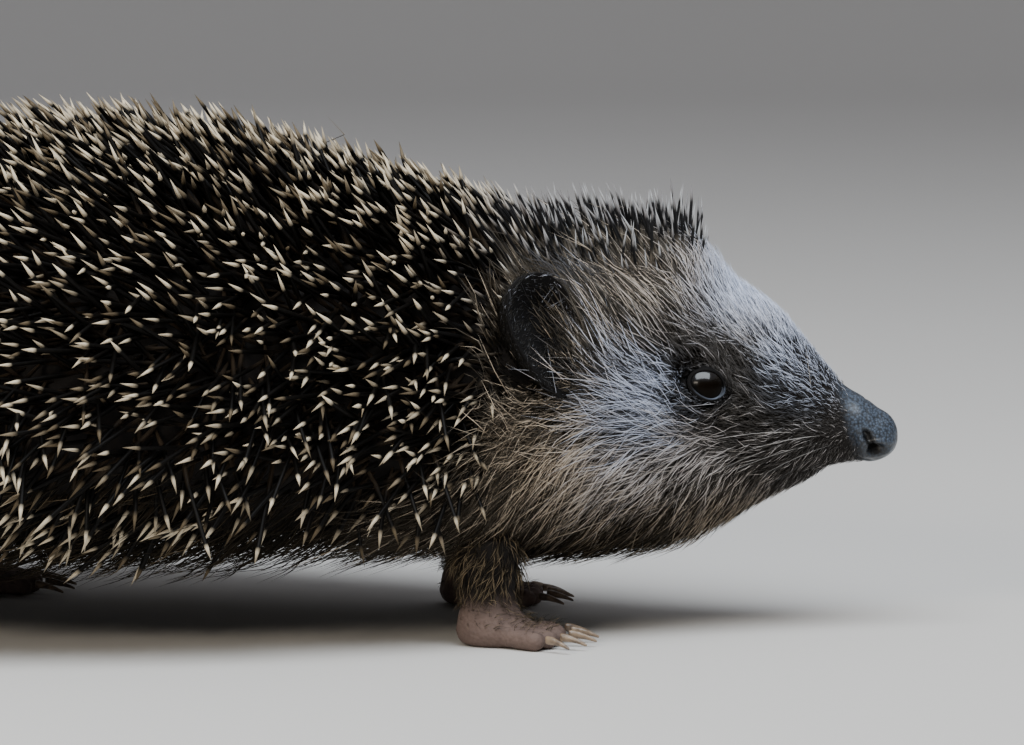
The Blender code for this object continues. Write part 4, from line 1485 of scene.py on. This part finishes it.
class HEDGEHOG_OT_eyes(bpy.types.Operator):
    """Makes the two glossy eyeballs"""

    bl_idname = "hedgehog.eyes"
    bl_label = "Eyes"

    def execute(self, context):
        for side in SIDES:
            eye = Eye(side)
            turn = Vector(eye.out).to_track_quat("Z", "Y").to_matrix().to_4x4()
            mesh = bpy.data.meshes.new("eyeball_" + side)
            with opened(mesh) as shape:
                bmesh.ops.create_uvsphere(shape, u_segments=64, v_segments=40, radius=eye.radius)
                bmesh.ops.transform(shape, matrix=Matrix.Translation(eye.centre) @ turn, verts=shape.verts)
            mesh.shade_smooth()
            away = (points_of(mesh) - eye.centre) / eye.radius
            iris, film = ease(0.72, 0.9, away @ eye.out), ease(0.2, 0.5, away[:, 2])
            set_values(mesh, {"iris": iris, "film": film})
            mesh.materials.append(bpy.data.materials["hedgehog_eye"])
            finish_piece(add_object("eyeball_" + side, mesh), "eye", "eye_" + side)
        return {"FINISHED"}


class HEDGEHOG_OT_claws(bpy.types.Operator):
    """Rounds the claws and gives them the look of horn"""

    bl_idname = "hedgehog.claws"
    bl_label = "Claws"

    def execute(self, context):
        for name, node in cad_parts.items():
            if "_claw_" not in name:
                continue
            weld = node.modifiers.new("Weld", "WELD")
            weld.merge_threshold = 0.01 * MM
            smooth = node.modifiers.new("Round", "SUBSURF")
            smooth.levels = smooth.render_levels = 2
            node.data.materials.clear()
            node.data.materials.append(bpy.data.materials["hedgehog_claw"])
        return {"FINISHED"}


class HEDGEHOG_OT_quills(bpy.types.Operator):
    """Grows the quills of the crown, back and flanks"""

    bl_idname = "hedgehog.quills"
    bl_label = "Quills"

    def execute(self, context):
        form = FORMS["body"]
        lay = form.ahead, form.steps
        form.lay_down(quill_lay(form))
        left = form.points[..., 1] > 0
        crown = form.back < 64
        gap = sizes().quill_gap
        pieces = {
            "quills_crown": (crown, gap * sizes().crown_crowding),
            "quills_right": (~crown & ~left, gap),
            "quills_left": (~crown & left, gap),
        }
        for seed, (name, (part, gap)) in enumerate(pieces.items(), 11):
            finish_piece(quill_piece(name, form, part, gap, seed), "quills")
        form.ahead, form.steps = lay
        return {"FINISHED"}


class HEDGEHOG_OT_fur(bpy.types.Operator):
    """Grows the fur of the head, ruff, throat and belly"""

    bl_idname = "hedgehog.fur"
    bl_label = "Fur"

    def execute(self, context):
        form, s = FORMS["body"], sizes()
        back, height = form.back, form.height
        length = hair_length(form)
        radius = level(back, ((7, s.ear_hair_radius), (18, s.fine_radius), (46, s.hair_radius)))
        right = form.points[..., 1] < 0
        brow = height > blend(44.0, 41.0, ease(20, 40, back))
        low = form.normals[..., 2] < -0.72
        face, ruff, trunk = (back >= 23) & (back < 50), (back >= 50) & (back < 72), back >= 72
        on_top = brow & (back >= 23) & (back < 60)
        # Each piece's part of the body, its tufts, the hairs of a tuft, the steps of a hair, and how wild
        # and how clumped they are.
        pieces = {
            "fur_muzzle": (back < 23, 7000, 2, 2, 0.14, 0.15),
            "fur_brow": (on_top, 3800, 3, 3, 0.14, 0.15),
            "fur_cheek_right": (face & ~brow & ~low & right, 3700, 3, 3, 0.18, 0.2),
            "fur_cheek_left": (face & ~brow & ~low & ~right, 3700, 3, 3, 0.18, 0.2),
            "fur_ruff_right": (ruff & ~on_top & ~low & right, 2200, 3, 3, 0.2, 0.4),
            "fur_ruff_left": (ruff & ~on_top & ~low & ~right, 2200, 3, 3, 0.2, 0.4),
            "fur_throat": ((back >= 23) & low & ~trunk, 1600, 3, 3, 0.22, 0.55),
            "fur_belly_right": (trunk & right, 1100, 3, 3, 0.2, 0.5),
            "fur_belly_left": (trunk & ~right, 1100, 3, 3, 0.2, 0.5),
        }
        furred = furred_share(form)
        for seed, (name, (part, count, members, steps, *ways)) in enumerate(pieces.items(), 40):
            piece = tufts(name, form, furred * part, count, members, steps, length, radius, seed, *ways)
            finish_piece(piece, "belly_fur" if "belly" in name else "face_fur")
        return {"FINISHED"}


def ear_mark(form):
    """1 where an ear stands on the body."""
    beside = np.abs(form.points[..., 1]) > 15 * MM
    return blob(form.back, form.height, (54.0, 45.5), (3.7, 7.6), -12) * beside


def furred_share(form):
    """How thickly fur grows over the body, from 0 to 1."""
    bare = np.ones(form.back.shape)
    for side in SIDES:
        bare = bare * ease(1.1, 1.25, Eye(side).spread(form.points)[3])
    behind_ear = ease(54, 56, form.back) * ease(59, 56, form.back) * ease(33, 37, form.height)
    behind_ear = behind_ear * ease(57, 54, form.height) * 0.3
    grown = np.maximum((1.0 - form.quills) * (1.0 - ear_mark(form)), behind_ear)
    return grown * bare * ease(5.6, 7.2, form.back - 0.25 * (form.height - 30.0))


def hair_length(form):
    """How long the body's hair is: short on the muzzle and round the eyes, longest on the belly."""
    back, height = form.back, form.height
    length = level(back, HAIR_LENGTHS)
    for side in SIDES:
        length = length * (0.1 + 0.9 * ease(1.1, 3.2, Eye(side).spread(form.points)[3]))
    to_quills = level(height, QUILL_LINE) - back
    length = length * blend(1.0, 0.55, ease(9.0, 1.0, to_quills) * ease(50, 58, height))
    beside_ear = ease(36, 39, height) * ease(49, 46, height) * (np.abs(form.points[..., 1]) > 14 * MM)
    room = np.where(back < 56, np.clip(0.8 * (51.0 - back), 1.8, 20.0), 20.0)
    length = length * blend(1.0, 0.62, ease(49, 55, back) * ease(27, 36, height))
    length = length * blend(1.0, 1.25, ease(31, 22, height) * ease(28, 38, back) * ease(74, 64, back))
    return blend(length, np.minimum(length, room), beside_ear) * MM


class HEDGEHOG_OT_ear_fur(bpy.types.Operator):
    """Grows the fine short hair of the ears"""

    bl_idname = "hedgehog.ear_fur"
    bl_label = "Ear fur"

    def execute(self, context):
        for seed, side in enumerate(SIDES, 70):
            form = FORMS["ear_" + side]
            length = blend(2.2 * MM, 3.6 * MM, form.outer)
            radius = np.full(form.pile.shape, sizes().ear_hair_radius)
            back, height = side_view(form.points)
            every = np.ones(back.shape)
            pale = 0.12 + 0.6 * ease(46.5, 52.5, height) * ease(60, 51, back)
            # Their pale points are mostly bluish, partly a painted tint of the sky's light.
            marks = {"pale": pale, "cool": 0.8 * every, "low": 0.0 * every}
            where = 0.4 + 0.6 * form.outer
            name = "fur_ear_" + side
            piece = tufts(name, form, where, 1900, 2, 2, length, radius, seed, 0.5, marks=marks)
            finish_piece(piece, "ear_skin")
        return {"FINISHED"}


class HEDGEHOG_OT_limb_fur(bpy.types.Operator):
    """Grows the short hair of the legs and the tail"""

    bl_idname = "hedgehog.limb_fur"
    bl_label = "Limb fur"

    def execute(self, context):
        for seed, place in enumerate((*PLACES, "tail"), 80):
            form = FORMS[place]
            height = form.points[:, 2] / MM
            on_top = ease(0.0, 0.4, form.normals[:, 2]) * ease(2.2, 3.6, height)
            weight = either(ease(6.0, 9.0, height), 0.8 * on_top) * (height < 24) + (place == "tail")
            length = blend(1.5 * MM, 3.6 * MM, either(ease(5.0, 11.0, height), 1.0 * (place == "tail")))
            radius = blend(0.7, 1.2, ease(5.0, 11.0, height)) * sizes().fine_radius
            every = np.ones(height.shape)
            # Their points take the low, darker brown: partly their own fur, partly painted shade under the
            # body.
            marks = {"pale": 0.45 * every, "cool": 0.0 * every, "low": 0.9 * every}
            piece = tufts("fur_" + place, form, weight, 1000, 2, 2, length, radius, seed, 0.25, marks=marks)
            finish_piece(piece, "belly_fur")
        return {"FINISHED"}


# Whiskers on one side: how far back and how high their roots are and how long they are, in millimetres,
# then which way they point: back, out and up.
WHISKERS = (
    (9.0, 30.5, 11, 0.75, 0.6, -0.1), (10.5, 29.0, 14, 0.8, 0.55, -0.2), (12.0, 30.8, 15, 0.8, 0.6, 0.0),
    (12.5, 27.5, 13, 0.75, 0.5, -0.35), (14.0, 29.2, 17, 0.85, 0.5, -0.15), (15.5, 31.5, 16, 0.8, 0.6, 0.1),
    (16.0, 27.0, 14, 0.75, 0.5, -0.45), (17.5, 29.5, 16, 0.85, 0.5, -0.2), (13.0, 38.0, 9, 0.1, 0.35, 0.9),
    (24.5, 43.0, 10, 0.3, 0.5, 0.85), (26.5, 44.2, 11, 0.4, 0.5, 0.8), (33.0, 27.5, 13, 0.8, 0.6, -0.25),
)


class HEDGEHOG_OT_whiskers(bpy.types.Operator):
    """Sets long fine whiskers on the muzzle, over the eyes and on the cheeks"""

    bl_idname = "hedgehog.whiskers"
    bl_label = "Whiskers"

    def execute(self, context):
        form = FORMS["body"]
        table, rings = np.array(WHISKERS), 9
        count = len(table)
        share = np.linspace(0.0, 1.0, rings)
        radii = np.repeat(sizes().whisker_radius * (1.0 - 0.8 * share[None]), count, axis=0)
        for side, sign in SIDES.items():
            away = np.hypot(form.back[..., None] - table[:, 0], form.height[..., None] - table[:, 1])
            away = np.where(rows(form.points[..., 1]) * sign > 0, away, 99.0)
            nearest = away.reshape(-1, count).argmin(0)
            roots = form.points.reshape(-1, 3)[nearest]
            heading = unit(table[:, 3:] * np.array([-1.0, sign, 1.0]))
            long = table[:, 2] * MM
            droop = rows(long * -0.12) * share[None] ** 2
            paths = roots[:, None] + heading[:, None] * rows(rows(long) * share[None])
            paths[..., 2] += droop
            sideways = unit(np.cross(heading, [0.0, 0.0, 1.0]))
            ways = sideways, np.cross(sideways, heading)
            wide = [np.repeat(way[:, None], rings, axis=1) for way in ways]
            values = {"shade": np.arange(count) % 3 / 2.0}
            homes = homes_on_map(roots[:, 0], roots[:, 2])
            owners = (np.arange(count), np.zeros(count), np.ones(count))
            piece = strands("whiskers_" + side, paths, *wide, radii, 5, owners, homes, values)
            piece.data.materials.append(bpy.data.materials["hedgehog_whisker"])
            finish_piece(piece, "face_fur")
        return {"FINISHED"}


class HEDGEHOG_OT_stage(bpy.types.Operator):
    """Sets up the floor, the lights and the camera"""

    bl_idname = "hedgehog.stage"
    bl_label = "Stage"

    def execute(self, context):
        scene = context.scene
        stage = scene.hedgehog_stage
        mesh = stage_bowl()
        mesh.materials.append(floor_finish())
        add_object("floor", mesh)
        world = bpy.data.worlds.new("stage")
        world.use_nodes = True
        backdrop = world.node_tree.nodes["Background"]
        backdrop.inputs["Color"].default_value = (*stage.sky_tint, 1.0)
        backdrop.inputs["Strength"].default_value = stage.sky
        scene.world = world
        aim = Vector((stage.aim_x, 0.0, stage.aim_height))
        add_light("top", Vector((0.12, -0.46, 1.1)), aim, stage.top, 1.4, 0.75, stage.top_tint)
        add_light("key", Vector((-0.52, -0.94, 0.54)), aim, stage.key, 0.42, 0.2, stage.key_tint)
        camera = bpy.data.cameras.new("camera")
        camera.lens = stage.lens
        camera.clip_start = 10 * MM
        holder = bpy.data.objects.new("camera", camera)
        scene.collection.objects.link(holder)
        flat = math.cos(stage.elevation)
        away = Vector((math.sin(stage.azimuth) * flat, -math.cos(stage.azimuth) * flat, 0.0))
        away.z = math.sin(stage.elevation)
        holder.location = aim + away * stage.distance
        holder.rotation_euler = (-away).to_track_quat("-Z", "Y").to_euler()
        scene.camera = holder
        return {"FINISHED"}


def stage_bowl():
    """A round floor that curves up into a wall all round, so that no edge shows behind the animal."""
    flat, bend, wall = 2.5, 2.0, 1.0
    swings = np.linspace(0.0, math.pi / 2, 24)
    radii = [0.05, *np.linspace(0.5, flat, 5), *(flat + bend * np.sin(swings[1:])), flat + bend]
    heights = [0.0, *np.zeros(5), *(bend * (1.0 - np.cos(swings[1:]))), bend + wall]
    turns = np.arange(96) * 2 * math.pi / 96
    circle = np.stack([np.cos(turns), np.sin(turns), 0 * turns], axis=1)
    rings = [radius * circle + np.array([0, 0, height]) for radius, height in zip(radii, heights)]
    mesh = closed_mesh("floor", np.array(rings))
    with opened(mesh) as shape:
        lid = [face for face in shape.faces if face.calc_center_median().z > bend + wall * 0.9]
        bmesh.ops.delete(shape, geom=lid, context="FACES")
        bmesh.ops.reverse_faces(shape, faces=shape.faces)
    return mesh


def add_light(name, place, aim, power, width, height, tint):
    """A soft light that faces the animal."""
    lamp = bpy.data.lights.new(name, "AREA")
    lamp.energy = power
    lamp.shape = "RECTANGLE"
    lamp.size, lamp.size_y = width, height
    lamp.color = tint
    holder = bpy.data.objects.new(name, lamp)
    bpy.context.scene.collection.objects.link(holder)
    holder.location = place
    holder.rotation_euler = (aim - place).to_track_quat("-Z", "Y").to_euler()


OPERATORS = (
    HEDGEHOG_OT_finishes,
    HEDGEHOG_OT_stage,
    HEDGEHOG_OT_skin,
    HEDGEHOG_OT_eyes,
    HEDGEHOG_OT_claws,
    HEDGEHOG_OT_quills,
    HEDGEHOG_OT_fur,
    HEDGEHOG_OT_ear_fur,
    HEDGEHOG_OT_limb_fur,
    HEDGEHOG_OT_whiskers,
)


class HEDGEHOG_PT_panel(bpy.types.Panel):
    """Lists the steps that dress the hedgehog"""

    bl_idname = "HEDGEHOG_PT_panel"
    bl_label = "Hedgehog"
    bl_space_type = "VIEW_3D"
    bl_region_type = "UI"
    bl_category = "Hedgehog"

    def draw(self, context):
        for operator in OPERATORS:
            self.layout.operator(operator.bl_idname)


GROUPS = {
    "hedgehog_sizes": HEDGEHOG_PG_sizes,
    "hedgehog_colours": HEDGEHOG_PG_colours,
    "hedgehog_stage": HEDGEHOG_PG_stage,
}


def register():
    """Adds the settings, the operators and the panel."""
    for group in GROUPS.values():
        bpy.utils.register_class(group)
    for name, group in GROUPS.items():
        setattr(bpy.types.Scene, name, PointerProperty(type=group))
    for cls in OPERATORS + (HEDGEHOG_PT_panel,):
        bpy.utils.register_class(cls)


def unregister():
    """Takes them away again."""
    for cls in (HEDGEHOG_PT_panel,) + OPERATORS[::-1]:
        bpy.utils.unregister_class(cls)
    for name, group in GROUPS.items():
        delattr(bpy.types.Scene, name)
        bpy.utils.unregister_class(group)


def main():
    """Runs every step in order."""
    register()
    for operator in OPERATORS:
        group, name = operator.bl_idname.split(".")
        getattr(getattr(bpy.ops, group), name)()


if __name__ == "__main__":
    main()
